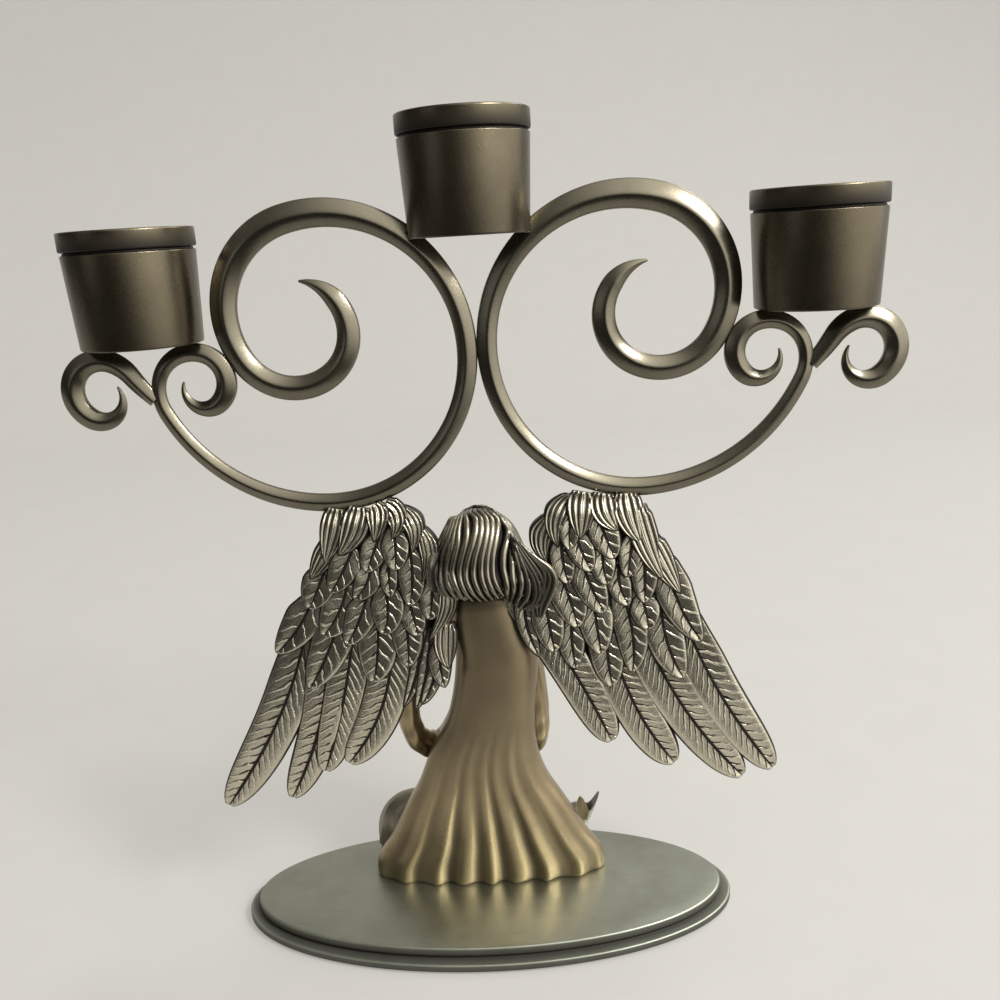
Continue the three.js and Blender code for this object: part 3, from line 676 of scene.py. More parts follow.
# Wings. Feathers are laid in this order. Each has its root, middle and tip, all across and up, and the width of the
# part that shows.
LEFT_FEATHERS = [
    ("flight", [(53.8, 117.5, 60.3, 91.2, 69.2, 65.6, 12.9), (39.4, 112.8, 46.0, 89.1, 59.8, 68.8, 13.6),
                (64.0, 109.9, 70.2, 82.5, 83.5, 54.6, 12.7)]),
    ("outer", [(70.0, 126.0, 83.8, 90.5, 108.8, 52.4, 15.4)]),
    ("low", [(22.5, 107.9, 25.6, 99.2, 29.6, 92.1, 5.6), (25.0, 114.7, 28.0, 100.7, 32.0, 90.0, 5.6),
             (27.7, 119.5, 30.8, 104.2, 36.6, 91.3, 5.6), (20.3, 115.8, 21.3, 107.1, 19.9, 99.0, 8.3),
             (32.7, 129.7, 32.5, 117.8, 33.3, 108.2, 11.1), (43.0, 127.3, 44.3, 113.7, 46.9, 102.5, 14.2),
             (57.4, 127.7, 63.5, 114.0, 71.1, 100.9, 13.9), (67.8, 133.8, 73.5, 124.8, 82.0, 116.2, 12.6)]),
    ("tuft", [(17.8, 124.7, 18.9, 114.4, 17.9, 106.8, 7.3), (17.0, 138.3, 17.7, 129.2, 25.4, 117.6, 5.8)]),
    ("mid", [(30.6, 132.5, 29.3, 125.9, 28.5, 120.4, 8.9), (21.8, 139.8, 22.6, 132.8, 23.8, 126.5, 9.1),
             (39.0, 137.5, 39.1, 129.0, 41.4, 121.7, 11.5), (46.9, 134.6, 50.5, 126.3, 55.3, 118.1, 10.9),
             (54.2, 137.6, 58.1, 129.3, 63.8, 122.3, 13.1), (61.2, 146.4, 64.4, 139.5, 67.8, 133.3, 11.6)]),
    ("high", [(28.7, 150.4, 29.0, 140.8, 30.6, 132.4, 9.5), (37.1, 147.7, 37.3, 141.9, 37.3, 136.1, 6.5),
              (43.9, 146.8, 46.2, 141.1, 50.8, 136.0, 9.1), (50.8, 152.8, 54.5, 146.0, 59.1, 139.0, 10.3)]),
    ("top", [(33.9, 159.5, 34.0, 152.6, 34.8, 146.6, 9.5), (40.1, 158.0, 42.8, 151.8, 45.1, 146.5, 9.0)]),
    ("tuft", [(56.5, 158.5, 61.0, 151.6, 66.0, 144.5, 7.0)]),
    ("curl", [(24.5, 161.5, 22.0, 152.0, 25.5, 141.0, 6.0), (31.0, 169.5, 26.3, 162.0, 28.5, 152.5, 6.4)]),
    ("tuft", [(36.5, 171.5, 32.2, 165.5, 35.0, 158.5, 7.0), (40.5, 171.0, 39.4, 165.5, 41.5, 157.5, 7.0),
              (46.0, 170.6, 49.0, 161.0, 54.9, 153.2, 8.4), (53.6, 170.4, 56.3, 160.5, 60.0, 150.3, 8.0)]),
]
RIGHT_FEATHERS = [
    ("flight", [(-21.6, 115.5, -32.7, 93.9, -41.6, 73.4, 13.0), (-44.4, 105.8, -53.2, 82.5, -65.4, 63.3, 13.7),
                (-56.3, 112.4, -71.2, 82.4, -91.2, 56.4, 14.4)]),
    ("outer", [(-68.5, 124.0, -82.4, 91.3, -102.6, 59.2, 14.4)]),
    ("low", [(-11.8, 134.4, -11.8, 122.4, -16.0, 109.6, 7.3), (-61.1, 125.6, -63.5, 111.3, -69.0, 98.6, 13.4),
             (-47.6, 131.1, -50.5, 115.5, -49.7, 101.7, 12.1), (-40.8, 121.0, -41.1, 107.4, -42.5, 96.4, 12.6),
             (-28.2, 122.3, -28.1, 113.1, -29.2, 104.3, 9.8)]),
    ("mid", [(-18.8, 131.2, -20.2, 120.6, -21.6, 111.4, 11.2), (-36.6, 129.6, -37.5, 119.7, -38.7, 109.7, 12.1),
             (-54.4, 130.0, -55.6, 124.3, -56.1, 118.8, 10.4), (-63.9, 140.5, -68.2, 126.5, -75.8, 113.0, 12.3)]),
    ("high", [(-25.9, 138.4, -28.5, 129.9, -30.4, 120.9, 12.1), (-33.2, 144.9, -36.4, 135.1, -40.4, 126.1, 11.1),
              (-45.9, 140.8, -46.7, 134.5, -49.5, 128.7, 8.4), (-55.4, 150.5, -55.2, 139.6, -55.0, 129.1, 10.2),
              (-25.8, 152.7, -26.2, 145.2, -27.9, 138.1, 8.9), (-40.4, 148.6, -40.5, 143.1, -42.0, 137.1, 9.1)]),
    ("top", [(-51.0, 152.7, -49.9, 146.0, -48.8, 139.5, 8.2), (-31.4, 155.1, -33.4, 148.9, -36.2, 142.6, 9.5),
             (-39.5, 161.3, -42.1, 153.9, -44.6, 147.0, 10.2)]),
    ("tuft", [(-58.0, 153.0, -62.5, 143.0, -68.3, 132.0, 7.6)]),
    ("curl", [(-22.5, 163.5, -18.3, 155.5, -20.5, 147.0, 7.2), (-29.5, 170.5, -24.0, 162.5, -24.8, 152.0, 7.6)]),
    ("tuft", [(-41.5, 171.0, -42.0, 164.0, -46.5, 157.5, 8.6), (-34.5, 172.0, -33.3, 164.0, -32.7, 154.9, 9.1)]),
    ("top", [(-29.5, 163.5, -28.8, 158.0, -28.5, 151.0, 8.4)]),
    ("tuft", [(-53.0, 165.5, -56.5, 151.0, -62.7, 137.0, 8.4), (-49.2, 170.7, -50.6, 161.4, -54.4, 152.1, 8.9)]),
]
# Of each kind: how far the root stands off and how much further the tip, how blunt the tip is, how the width falls
# off, 1 for a tuft of strands or 0 for barbs, the barbs' spacing, how much wider it is than the part that shows, how
# far it runs on under the row above as a share of its length, and how full its root is
FEATHER_KINDS = {
    "outer": (0.5, 0.6, 9.0, 0.5, 0.0, 4.0, 1.2, 0.1, 0.7),
    "flight": (0.5, 0.6, 9.0, 0.5, 0.0, 4.0, 1.3, 0.5, 1.0),
    "low": (0.55, 1.0, 4.2, 0.65, 0.0, 5.8, 1.18, 0.25, 0.55),
    "mid": (0.7, 1.0, 4.2, 0.65, 0.0, 5.6, 1.18, 0.25, 0.55),
    "high": (0.8, 1.0, 4.2, 0.65, 0.0, 5.0, 1.2, 0.25, 0.55),
    "top": (0.9, 1.0, 4.2, 0.65, 0.0, 4.6, 1.2, 0.25, 0.55),
    "tuft": (1.05, 0.8, 2.9, 0.85, 1.0, 3.0, 1.35, 0.0, 0.88),
    "curl": (1.1, 0.8, 2.9, 0.85, 1.0, 3.0, 1.35, 0.05, 0.5),
}


def feather_blank():
    """A closed blank: X runs across from -1 to 1, Y is the face it lies on, Z runs from root to tip."""
    across = np.sin(np.linspace(-1, 1, 15) * math.pi / 2)
    places = np.minimum(1 - (1 - np.linspace(0, 1, 26)) ** 1.5, 0.9985)
    loop = [(u, 1) for u in across] + [(u, -1) for u in across[::-1]]
    mesh = bpy.data.meshes.new("feather_blank")
    mesh.from_pydata([(u, side, t) for t in places for u, side in loop], [], closed_faces(len(places), len(loop)))
    return placed("feather_blank", mesh)


def feather_tree():
    """Copies the blank once for every point and bends each copy to its feather."""
    inputs = (("Points", "Geometry"), ("Blank", "Object"), ("Plane", "Float"), ("Crown", "Float"),
              ("Finish", "Material"))
    board, (points, leaf, middle, rise, metal), sockets = new_tree("feathers", inputs, "Wing")

    def named(key):
        return board.node("GeometryNodeInputNamedAttribute", {"data_type": "FLOAT"}, {"Name": key})

    def kept(geometry, key, value):
        settings = {"data_type": "FLOAT", "domain": "POINT"}
        inputs = {"Geometry": geometry, "Name": key, "Value": value}
        return board.node("GeometryNodeStoreNamedAttribute", settings, inputs)

    def bowed(axis, root, mid, tip):
        return root * named(f"root_{axis}") + mid * named(f"mid_{axis}") + tip * named(f"tip_{axis}")

    shape = board.node("GeometryNodeObjectInfo", {}, {"Object": leaf}, "Geometry")
    copies = board.node("GeometryNodeInstanceOnPoints", {}, {"Points": points, "Instance": shape})
    copies = board.node("GeometryNodeRealizeInstances", {}, {0: copies})
    position = board.node("GeometryNodeInputPosition", {}, {})
    u, face, t = (board.node("ShaderNodeSeparateXYZ", {}, {0: position}, i) for i in range(3))
    reach, neck, tuft, widest = (named(key) for key in ("reach", "neck", "tuft", "half"))
    # The middle line is the one parabola through root, middle and tip, and runs on behind the root
    s = t * (1 + reach) - reach
    bow = ((1 - s) * (1 - 2 * s), 4 * s * (1 - s), s * (2 * s - 1))
    slope = (4 * s - 3, 4 - 8 * s, 4 * s - 1)
    x0, z0 = bowed("x", *bow), bowed("z", *bow)
    dx, dz = bowed("x", *slope), bowed("z", *slope)
    length = (dx * dx + dz * dz) ** 0.5
    opening = neck + (1 - neck) * board.ramp(t, 0.0, 0.42)
    shoulder = board.greatest((1.02 - (1 - (t * 7).clamped()) ** 2) ** 0.5, neck * 2 - 1)
    full = shoulder * opening * (1 - t * t * 0.15) * (1 - t ** named("bluntness")) ** named("fall")
    half = widest * full
    edge = u.size()
    across = u * half
    # A barbed feather is hollow along its vein and a tuft is round; both thin out at the wing's top, under the bar
    trough = (1 - edge ** 4) ** 0.5 * (0.45 + 0.75 * edge) * board.ramp(t, 0.1, 0.6)
    round_back = (1 - edge * edge) ** 0.5
    pillow = (0.25 + rise * widest) * (trough * (1 - tuft) + round_back * tuft)
    thinned = 1 - board.ramp(z0, 164.5, 169.5) * 0.8
    off = (named("lift") + named("tilt") * t + pillow * board.ramp(half, 0, 2.5) + 0.28 * u * face) * thinned
    x = x0 - dz / length * across
    z = z0 + dx / length * across
    y = middle + face * off
    geometry = kept(copies, "across", across)
    geometry = kept(geometry, "along", (1 - t) * (1 + reach) * length)
    geometry = kept(geometry, "margin", half * (1 - edge))
    place = board.node("ShaderNodeCombineXYZ", {}, {0: x * MM, 1: y * MM, 2: z * MM})
    geometry = board.node("GeometryNodeSetPosition", {}, {"Geometry": geometry, "Position": place})
    geometry = board.node("GeometryNodeSetMaterial", {}, {"Geometry": geometry, "Material": metal})
    board.node("NodeGroupOutput", {}, {0: geometry})
    return board, sockets


# A thin plate closes each wing between its feathers. It holds no margin, so it shows fully dark: painted shade in the
# gaps.
WING_CORES = {
    "left": [(34, 168), (52, 168), (57, 156), (65, 140), (77, 120), (84, 98), (72, 80), (54, 84), (40, 92), (24, 104),
             (19, 126), (22.5, 146), (28, 158)],
    "right": [(-27, 168), (-52, 168), (-57, 154), (-65, 138), (-76, 116), (-82, 96), (-66, 80), (-50, 84), (-34, 96),
              (-20, 112), (-17, 128), (-19, 146), (-24, 156)],
}
FEATHER_MEASURES = ("root_x", "root_z", "mid_x", "mid_z", "tip_x", "tip_z", "half", "lift", "tilt", "bluntness",
                    "fall", "tuft", "spacing", "reach", "neck", "skew")
# How much a feather swells by its width, how far each lies above the one before, and half the plate's thickness
CROWN = 0.15
ORDER_LIFT = 0.008
CORE_HALF = 0.2


def feather_row(order, kind, places, width):
    lift, tilt, bluntness, fall, tuft, spacing, widened, reach, neck = FEATHER_KINDS[kind]
    skew = math.copysign(0.4 if kind in ("flight", "outer") else 0.1, places[0])
    return (*places, width / 2 * widened, lift + ORDER_LIFT * order, tilt, bluntness, fall, tuft, spacing, reach,
            neck, skew)


def make_wings(finish):
    blank = feather_blank()
    tree = feather_tree()
    for side, groups in (("left", LEFT_FEATHERS), ("right", RIGHT_FEATHERS)):
        feathers = [(kind, row[:6], row[6]) for kind, rows in groups for row in rows]
        table = [feather_row(order, *feather) for order, feather in enumerate(feathers)]
        mesh = bpy.data.meshes.new(f"{side}_wing_feathers")
        mesh.from_pydata([(0, 0, 0)] * len(table), [], [])
        for key, values in zip(FEATHER_MEASURES, zip(*table)):
            store(mesh, key, values)
        wing = run_tree(mesh, tree, (blank, WING_PLANE, CROWN, finish))
        core = np.array(WING_CORES[side], float)
        sheets = [points_at(core[:, 0], WING_PLANE + y, core[:, 1]) for y in (CORE_HALF, -CORE_HALF)]
        # With no margin stored, the plate is painted fully dark as shade
        plate = skin("core", sheets, spacing=np.ones(2 * len(core)))
        show(turn_out(merged([wing, plate], wing)), finish, f"{side}_wing")
    bpy.data.objects.remove(blank)


# Figure
def along_route(route, places):
    route = np.array(route, float)
    knots = np.linspace(0, 1, len(route))
    return np.stack([smooth_between(np.stack([knots, route[:, i]], 1), places) for i in range(route.shape[1])], 1)


def oval_rings(route, sizes, steps, sides):
    """Oval rings along a smooth route, each size a share of the route, a half width and a half depth."""
    share = np.linspace(0, 1, steps + 1)
    centre = along_route(route, share)
    tangent = np.gradient(centre, axis=0)
    tangent /= np.linalg.norm(tangent, axis=1)[:, None]
    side = np.cross((0.0, 1.0, 0.0), tangent)
    side /= np.linalg.norm(side, axis=1)[:, None]
    lift = np.cross(tangent, side)
    sizes = np.array(sizes, float)
    wide = smooth_between(sizes[:, (0, 1)], share)
    tall = smooth_between(sizes[:, (0, 2)], share)
    turns = full_turn(sides)
    rings = (centre[:, None] + wide[:, None, None] * np.cos(turns)[None, :, None] * side[:, None]
             + tall[:, None, None] * np.sin(turns)[None, :, None] * lift[:, None])
    return rings, centre, share, turns


def make_sleeve(name, spread, sign, finish):
    """A bent arm in a creased sleeve, whose cuff turns in."""
    steps, sides = 110, 72
    route = [(12, -11, -10), (spread * 0.84, -12, -30), (spread - 1, -14, -54), (spread * 0.88, -19, -71),
             (spread * 0.58, -28, -74), (6.2, -32.5, -43)]
    route = [(BODY_MIDDLE + sign * x, y, HEAD_BASE + z) for x, y, z in route]
    sizes = [(0, 5, 6), (0.2, 4.4, 5), (0.4, 4.4, 5), (0.6, 4.6, 6), (0.8, 5, 7.5), (1, 5, 8)]
    rings, centre, share, turns = oval_rings(route, sizes, steps, sides)
    crease = np.sin(62 * share[:, None] + 1.6 * np.cos(turns)[None]) * np.exp(-((share - 0.62) / 0.24) ** 2)[:, None]
    length_fold = np.cos(5 * turns + 4 * share[:, None]) * (0.3 + 0.7 * share[:, None])
    swell = 1 + 0.035 * crease + 0.045 * length_fold
    rings = centre[:, None] + (rings - centre[:, None]) * swell[..., None]
    recess = np.clip(-0.35 * crease - 0.25 * length_fold, 0, 1)
    # The rings turned in at the cuff are painted dark as shade inside the sleeve
    cuff = [(step, centre[step] + (rings[step] - centre[step]) * scale)
            for step, scale in ((steps, 0.93), (109, 0.86), (104, 0.84), (98, 0.82))]
    rings = np.concatenate([rings, [ring for _, ring in cuff]])
    recess = np.concatenate([recess, [np.full(sides, 0.0 if step == steps else 0.85) for step, _ in cuff]])
    show_skin(f"{name}_folds", rings, recess, finish, name)


# Places of the fingers' roots and tips, each in depth and up, and their radii
FINGERS = [(-39.0, 100.5, -37.9, 109.3, 0.95), (-37.3, 101, -36.3, 112.0, 0.98),
           (-35.5, 101, -34.9, 111.2, 0.95), (-33.9, 100, -33.6, 108.2, 0.85)]
PALM_GAP = 0.1
FINGER_TAPER = ((0, 1), (0.6, 0.95), (0.92, 0.75), (1, 0.35))
PALM = ([(1.75, -34.6, 89.5), (1.8, -35.8, 96), (1.5, -36.5, 102)], [(0, 1.7, 2.5), (0.5, 1.55, 3.5), (1, 1.1, 3.3)])
THUMB = ([(1.9, -33.4, 96), (1.8, -31.9, 100), (1.2, -31.5, 104.6)], [(0, 1.2, 1.3), (0.6, 1.05, 1.1), (1, 0.5, 0.5)])


def make_hands(finish):
    """Two hands laid palm to palm, each run together from a palm, four fingers and a thumb."""
    tubes = [PALM, THUMB]
    for y0, z0, y1, z1, radius in FINGERS:
        route = [(1.3, y0, z0), (1.25, (y0 + y1) / 2 - 0.25, (z0 + z1) / 2), (0.85, y1, z1)]
        tubes.append((route, [(share, radius * scale, radius * scale) for share, scale in FINGER_TAPER]))
    hands = []
    for sign in (1, -1):
        skins = []
        for route, sizes in tubes:
            route = [(BODY_MIDDLE + sign * (x + PALM_GAP), y, z) for x, y, z in route]
            rings = oval_rings(route, sizes, 24, 20)[0]
            skins.append(turn_out(skin("tube", rings)))
        made = placed("hand", merged(skins, bpy.data.meshes.new("hand")))
        run = made.modifiers.new("run", "REMESH")
        run.mode = "VOXEL"
        run.voxel_size = 0.26 * MM
        ease = made.modifiers.new("ease", "SMOOTH")
        ease.factor = 0.5
        ease.iterations = 3
        hands.append(apply_modifiers(made))
    mesh = turn_out(merged(hands, bpy.data.meshes.new("praying_hands")))
    store(mesh, "recess", np.zeros(len(mesh.vertices)))
    show(mesh, finish, "hands")


# Head, as sections of height, half width and half depth
HEAD_SECTIONS = [(0, 6.2, 6.2), (4, 6, 6), (6, 6.6, 9.4), (8.5, 8.6, 11.6), (12, 10.6, 12.2), (16.5, 11.6, 12.2),
                 (20.5, 11.6, 12), (24.5, 10.2, 10.8), (28, 6.8, 7.6), (29.6, 2.6, 3)]
# Of each feature of the face: how far it stands out, then its middle and width to the side and its middle and width up
FACE_FEATURES = (
    (0.55, 1.5, 0.7, 13.2, 0.8),  # sides of the nose
    (-1.15, 4.3, 2.4, 17.6, 1.8),  # sockets
    (1.05, 4.5, 1.9, 17.3, 1.1),  # lids
    (0.5, 4.2, 3.2, 20.2, 1.0),  # brows
    (0.55, 0, 2.5, 11.0, 0.5),  # upper lip
    (0.7, 0, 2.1, 9.7, 0.6),  # lower lip
    (-0.4, 0, 2.9, 10.35, 0.25),  # between the lips
    (0.8, 0, 2.4, 7.2, 1.3),  # chin
    (0.4, 5.2, 2.4, 14.0, 2.4),  # cheeks
)
NOSE_RIDGE = [(11.9, 0), (12.8, 0.7), (13.8, 1.0), (15.8, 0.62), (18.6, 0.22), (20.4, 0)]


def bell(value, middle, width):
    return np.exp(-((value - middle) / width) ** 2)


def face_relief(x, height):
    """How far a calm, general face with lowered lids stands out of the plain head, and how dark it is."""
    side = np.abs(x)
    out = 2.5 * bell(side, 0, 1.25) * smooth_between(NOSE_RIDGE, height)
    for stands_out, beside, width, up, tall in FACE_FEATURES:
        out += stands_out * bell(side, beside, width) * bell(height, up, tall)
    lid = bell(height, 16.6 + 0.05 * (side - 4.5) ** 2, 0.2) * bell(side, 4.5, 1.9)
    mouth = bell(height, 10.35, 0.22) * bell(side, 0, 2.7)
    crease = bell(side, 4.3, 2.6) * bell(height, 18.7, 0.7)
    return out, np.clip(0.8 * lid + 0.8 * mouth + 0.35 * crease, 0, 1)


def make_head(finish):
    turns = full_turn(200)
    rows, recess = [], []
    sections = np.array(HEAD_SECTIONS, float)
    for height in np.concatenate([np.arange(0, 29.4, 0.26), [29.5, 29.6]]):
        wide = smooth_between(sections[:, (0, 1)], height)
        deep = smooth_between(sections[:, (0, 2)], height)
        x = wide * np.sin(turns)
        out, dark = face_relief(x, height)
        facing = np.clip(np.cos(turns), 0, 1) ** 0.8
        y = -deep * np.cos(turns) - out * facing
        rows.append(points_at(HEAD_MIDDLE + x, HEAD_DEPTH + y, HEAD_BASE + height))
        recess.append(dark * facing)
    show_skin("calm_head", rows, recess, finish, "head")


# Hair, as sections of height above the neck, half width, half depth and middle in depth
HAIR_SECTIONS = [(0, 13.5, 11, -1), (2.5, 18, 14.4, -1), (7, 19.3, 16, -1), (12, 17.6, 15, -1.5),
                 (17.5, 15.9, 14.4, -2), (23.5, 13.4, 13, -2.5), (28.4, 9.8, 10, -3), (31.3, 5.4, 5.6, -3),
                 (32.4, 1.6, 1.6, -3)]
# Strands down the back of the head, in the bulb at its right and over the right wing, as places across and up.
# Another strand is laid halfway between each and the next.
BACK_STRANDS = [
    [(13.5, 163), (16, 158.5), (18.5, 153.5), (21, 148.5), (22, 144), (21.5, 140), (18, 136.5)],
    [(12, 163), (13.5, 159), (15.5, 154), (17.5, 148.5), (18, 144), (17.5, 140.5), (15, 136)],
    [(9.5, 164), (10.5, 160.5), (11, 156), (12.5, 151), (13.5, 146.5), (12.5, 142), (10, 135.5)],
    [(6.5, 165), (4.5, 163.5), (4.5, 160), (6, 155.5), (8, 150), (8.5, 143.5), (4.5, 135)],
    [(3, 165.5), (1, 163.5), (0.5, 160.5), (1.5, 156), (3, 150.5), (3, 143.5), (0, 135)],
    [(-1, 164.5), (-3, 162.5), (-3, 159.5), (-2, 155.5), (-1, 151), (-1, 144), (-4, 137)],
]
BULB_STRANDS = [
    [(-4, 163), (-6.5, 159.5), (-6.5, 156.5), (-5, 152.5), (-4.5, 147), (-5.5, 141), (-5, 134)],
    [(-6.5, 160.5), (-8.5, 156), (-9, 151.5), (-10, 146.5), (-10.5, 141.5), (-10, 136.5), (-7.5, 131)],
    [(-8, 157), (-10.5, 152), (-12.5, 147.5), (-14.5, 143), (-15.5, 137.5), (-14.5, 133), (-11, 130.5)],
    [(-9.5, 157), (-12.5, 151.5), (-15.5, 146.5), (-18, 141.5), (-18.5, 136.5), (-17, 132.5), (-13.5, 130)],
]
WING_STRANDS = [
    [(-11, 155.5), (-14.5, 150.5), (-18, 146), (-19, 142), (-17.5, 137), (-15.5, 132), (-16, 127)],
    [(-13.5, 152.5), (-17.5, 148.5), (-21, 145), (-22.4, 141), (-21, 136), (-19, 131.5), (-17, 126.5)],
]
# How deep the side strands lie within the hair's outline, the strands' half widths, and where the parting is across
STRAND_DEPTH = 1.5
STRAND_HALF = 1.5
FRINGE_HALF = 1.3
PARTING = 4.5
HAIR_HEART = (HEAD_MIDDLE, -3.0, 142.0)


def hair_size(height):
    sections = np.array(HAIR_SECTIONS, float)
    return [smooth_between(sections[:, (0, i)], height - HEAD_BASE) for i in (1, 2, 3)]


def hair_cap():
    """The mass under the strands, painted fully dark as shade, open before the face."""
    turns = full_turn(120)
    front = np.cos(turns)
    rows = []
    for height in HEAD_BASE + np.linspace(0.4, 30.8, 60):
        wide, deep, middle = hair_size(height)
        sink = 1.5 + 7 * np.clip((front - 0.62) * 6, 0, 1) * np.clip((160 - height) / 6, 0, 1)
        sink += 3 * max(0, 1 - (height - HEAD_BASE) / 6)
        x = HEAD_MIDDLE + (wide - sink) * np.sin(turns)
        rows.append(points_at(x, middle - (deep - sink) * front, height))
    # A rise of 0 paints the whole cap dark, painted shade between the strands
    return skin("cap", rows, rise=np.zeros(len(turns) * len(rows)))


def back_strand(line, over):
    """Lays a line of places across and up on the back of the hair, over the wing beside it and up to the crown."""
    points = []
    for x, z in along_route(line, np.linspace(0, 1, 13)):
        wide, deep, middle = hair_size(z)
        across = min(0.97, abs(x - HEAD_MIDDLE) / wide)
        dome = middle + (deep - 1.3) * math.sqrt(1 - across**2)
        beside = HEAD_MIDDLE - x - 9 if x < HEAD_MIDDLE else x - HEAD_MIDDLE - 13
        over_wing = 8.8 * min(1, max(0, beside) / 4) * min(1, max(0, 163 - z) / 6)
        points.append((x, max(dome + over, over_wing), z))
    if points[0][2] > 161:
        top_x = PARTING + (points[0][0] - PARTING) * 0.85
        top_z = HEAD_BASE + 31 - 0.05 * (top_x - PARTING) ** 2
        points = [(top_x * 0.9, -7, top_z - 1), (top_x, -3, top_z), *points]
    return points


def side_strand(sign, heights, turns):
    """A strand round one side of the head, whose turns are in degrees from the front."""
    wide, deep, middle = hair_size(heights)
    x = HEAD_MIDDLE + sign * (wide - STRAND_DEPTH) * np.sin(np.radians(turns))
    y = middle - (deep - STRAND_DEPTH) * np.cos(np.radians(turns))
    return points_at(x, y, heights)


def hair_strands():
    """Every strand's points and half width: the back, the bulb, the lock over the wing, both sides and the fringe."""
    strands = []
    for table, over in ((BACK_STRANDS, 0), (BULB_STRANDS, 0.9), (WING_STRANDS, 0)):
        table = np.array(table, float)
        for place in np.arange(0, len(table) - 0.9, 0.5):
            first = min(int(place), len(table) - 2)
            line = table[first] * (first + 1 - place) + table[first + 1] * (place - first)
            strands.append((back_strand(line, over), STRAND_HALF))
    share = np.linspace(0, 1, 6)
    for sign in (1, -1):
        for farthest in np.linspace(46, 160, 17):
            turns = farthest * (0.45 + 0.55 * share**0.6) + 3 * np.sin(7 * share)
            strands.append((side_strand(sign, 164.5 - 28.5 * share, turns), STRAND_HALF))
        for top in (165.4, 164.2, 163.0, 161.8, 160.8):
            strands.append((side_strand(sign, top - 9 * share**1.5, 3 + 50 * share), FRINGE_HALF))
    return strands


def strand_rise(mesh, centre, half):
    """How far each point stands out from its strand's middle, 0 towards the head and 1 away from it."""
    tree = kdtree.KDTree(len(centre))
    for i, place in enumerate(centre):
        tree.insert(place, i)
    tree.balance()
    rise = []
    for vertex in mesh.vertices:
        place = np.array(vertex.co[:]) / MM
        near = tree.find(place)[1]
        away = (centre[near] - HAIR_HEART) * (1, 1, 0.5)
        away /= np.linalg.norm(away)
        rise.append(np.clip(0.5 + 0.5 * np.dot(place - centre[near], away) / half[near], 0, 1))
    return rise


def make_hair(tree, finish):
    share = np.linspace(0, 1, 46)
    strands = hair_strands()
    paths = [along_route(points, share) for points, _ in strands]
    halves = [half * (0.7 + 0.3 * np.clip(share * 3, 0, 1)) * np.sin(math.pi * (0.06 + 0.88 * share)) ** 0.45
              for _, half in strands]
    section = outline_object("lock_section", [(math.cos(a), math.sin(a), 0) for a in full_turn(14)])
    locks = sweep("hair_locks", tree, paths, halves, section, finish)
    bpy.data.objects.remove(section)
    store(locks, "rise", strand_rise(locks, np.concatenate(paths), np.concatenate(halves)))
    hair = merged([hair_cap(), locks], bpy.data.meshes.new("waving_hair"))
    show(turn_out(hair), finish, "hair")


# Drape beside the figure: its middle, its half width and half depth, and the share of these by height
DRAPE_PLACE = (40, -23)
DRAPE_REACH = (17.5, 10)
DRAPE_SHARES = [(7.9, 0.8), (12, 0.95), (18, 1), (25, 0.94), (31, 0.76), (35, 0.5), (37.2, 0.2)]


def make_drape(finish):
    """A gathered lobe with a rolled rim near its foot."""
    turns = full_turn(160)
    rows, recess = [], []
    for height in np.linspace(BASE_TOP, DRAPE_SHARES[-1][0], 60):
        fold = np.cos(11 * turns + 0.05 * height) * 0.03 * np.clip((37 - height) / 20, 0, 1)
        rim = 0.05 * bell(height, 12.5, 1.6)
        grow = smooth_between(DRAPE_SHARES, height) * (1 + fold - 0.045 + rim)
        x, y = (middle + reach * grow * turned for middle, reach, turned
                in zip(DRAPE_PLACE, DRAPE_REACH, (np.cos(turns), np.sin(turns))))
        rows.append(points_at(x, y, height))
        recess.append(np.clip(-fold * 9, 0, 0.6) + 0.5 * bell(height, 15, 0.7))
    show_skin("gathered_drape", rows, recess, finish, "knee_drape")


# Lily beside the figure. Of each petal: which way it points in degrees, how high its tip is and how narrow it is.
LILY_PLACE = (-31.0, -26.0)
TRUMPET_FOOT = 17
PETALS = ((180, 31, 1.2), (80, 31.5, 3.0), (-50, 24.6, 1.5))
PETAL_VALLEY = 23.5
PETAL_WALL = 0.55


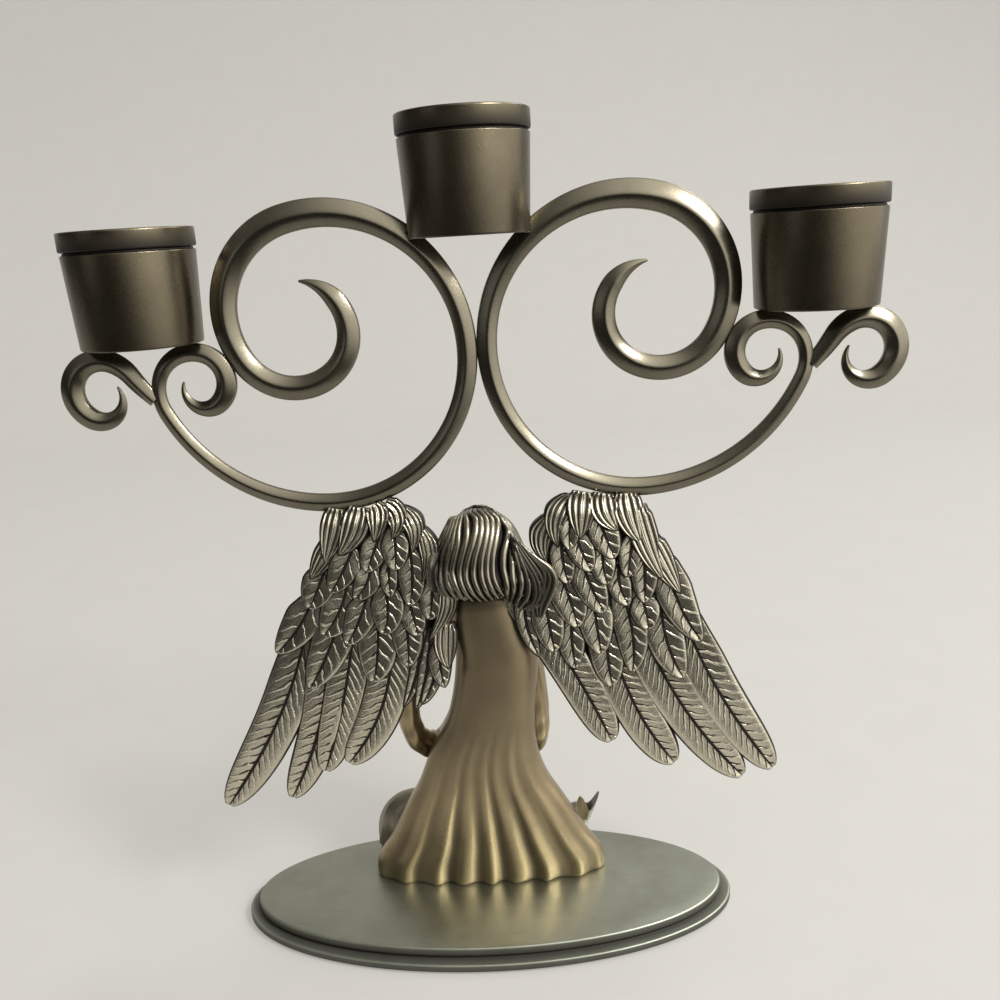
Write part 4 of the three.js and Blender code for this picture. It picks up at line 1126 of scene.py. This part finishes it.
def make_lily(finish):
    """A trumpet of three joined petals, one of them lower, on a short stem."""
    x, y = LILY_PLACE
    rings = oval_rings([(x, y, BASE_TOP), (x, y, 12), (x, y, 16), (x, y, 18.6)],
                       [(0, 3.8, 3.4), (0.3, 1.5, 1.5), (0.6, 1.5, 1.5), (1, 2.2, 2.0)], 30, 32)[0]
    stem = skin("stem", rings, recess=np.zeros(rings.shape[:2]))
    turns = full_turn(160)
    rim = np.full(len(turns), PETAL_VALLEY)
    for direction, tip, narrowness in PETALS:
        away = np.abs((turns - math.radians(direction) + math.pi) % (2 * math.pi) - math.pi)
        petal = np.cos(np.minimum(away * narrowness, math.pi / 2)) ** 1.3
        rim = np.maximum(rim, PETAL_VALLEY + (tip - PETAL_VALLEY) * petal)
    rows, recess = [], []
    outside = [(share, 0) for share in np.linspace(0, 1, 26)]
    for share, wall in outside + [(share, PETAL_WALL) for share in np.linspace(1, 0.1, 24)]:
        narrowed = 1 - 0.55 * wall * (1 - share)
        wide = (1.5 + 5.6 * share**0.8 - wall) * narrowed
        deep = (1.5 + 2.3 * share - wall) * narrowed
        height = TRUMPET_FOOT + (rim - TRUMPET_FOOT) * share + wall * (1 - share)
        rows.append(points_at(x + wide * np.cos(turns), y + deep * np.sin(turns), height))
        # The inner wall is painted in shade
        recess.append(np.full(len(turns), 0.6 if wall else 0.05))
    trumpet = skin("trumpet", rows, recess=np.array(recess))
    show(turn_out(merged([stem, trumpet], bpy.data.meshes.new("lily_flower"))), finish, "lily")


make_camera()
make_backdrop()
make_light()
finishes = {name: pewter(f"{name}_pewter", *looks) for name, looks in PEWTERS.items()}
swept_bar = bar_tree()
make_mantle(finishes["robe"])
make_gown(finishes["robe"])
make_bars(swept_bar, finishes["bar"])
make_cups(finishes["cup"])
make_base(finishes["base"])
make_wings(finishes["wing"])
make_sleeve("left_sleeve", 36, 1, finishes["robe"])
make_sleeve("right_sleeve", 18, -1, finishes["robe"])
make_hands(finishes["figure"])
make_head(finishes["figure"])
make_hair(swept_bar, finishes["hair"])
make_drape(finishes["figure"])
make_lily(finishes["petal"])
screw_finish = finishes["base"]
for name, finish in (("base_felt", make_felt()), ("left_base_screw", screw_finish), ("right_base_screw", screw_finish)):
    nodes[name].data.materials.clear()
    nodes[name].data.materials.append(finish)
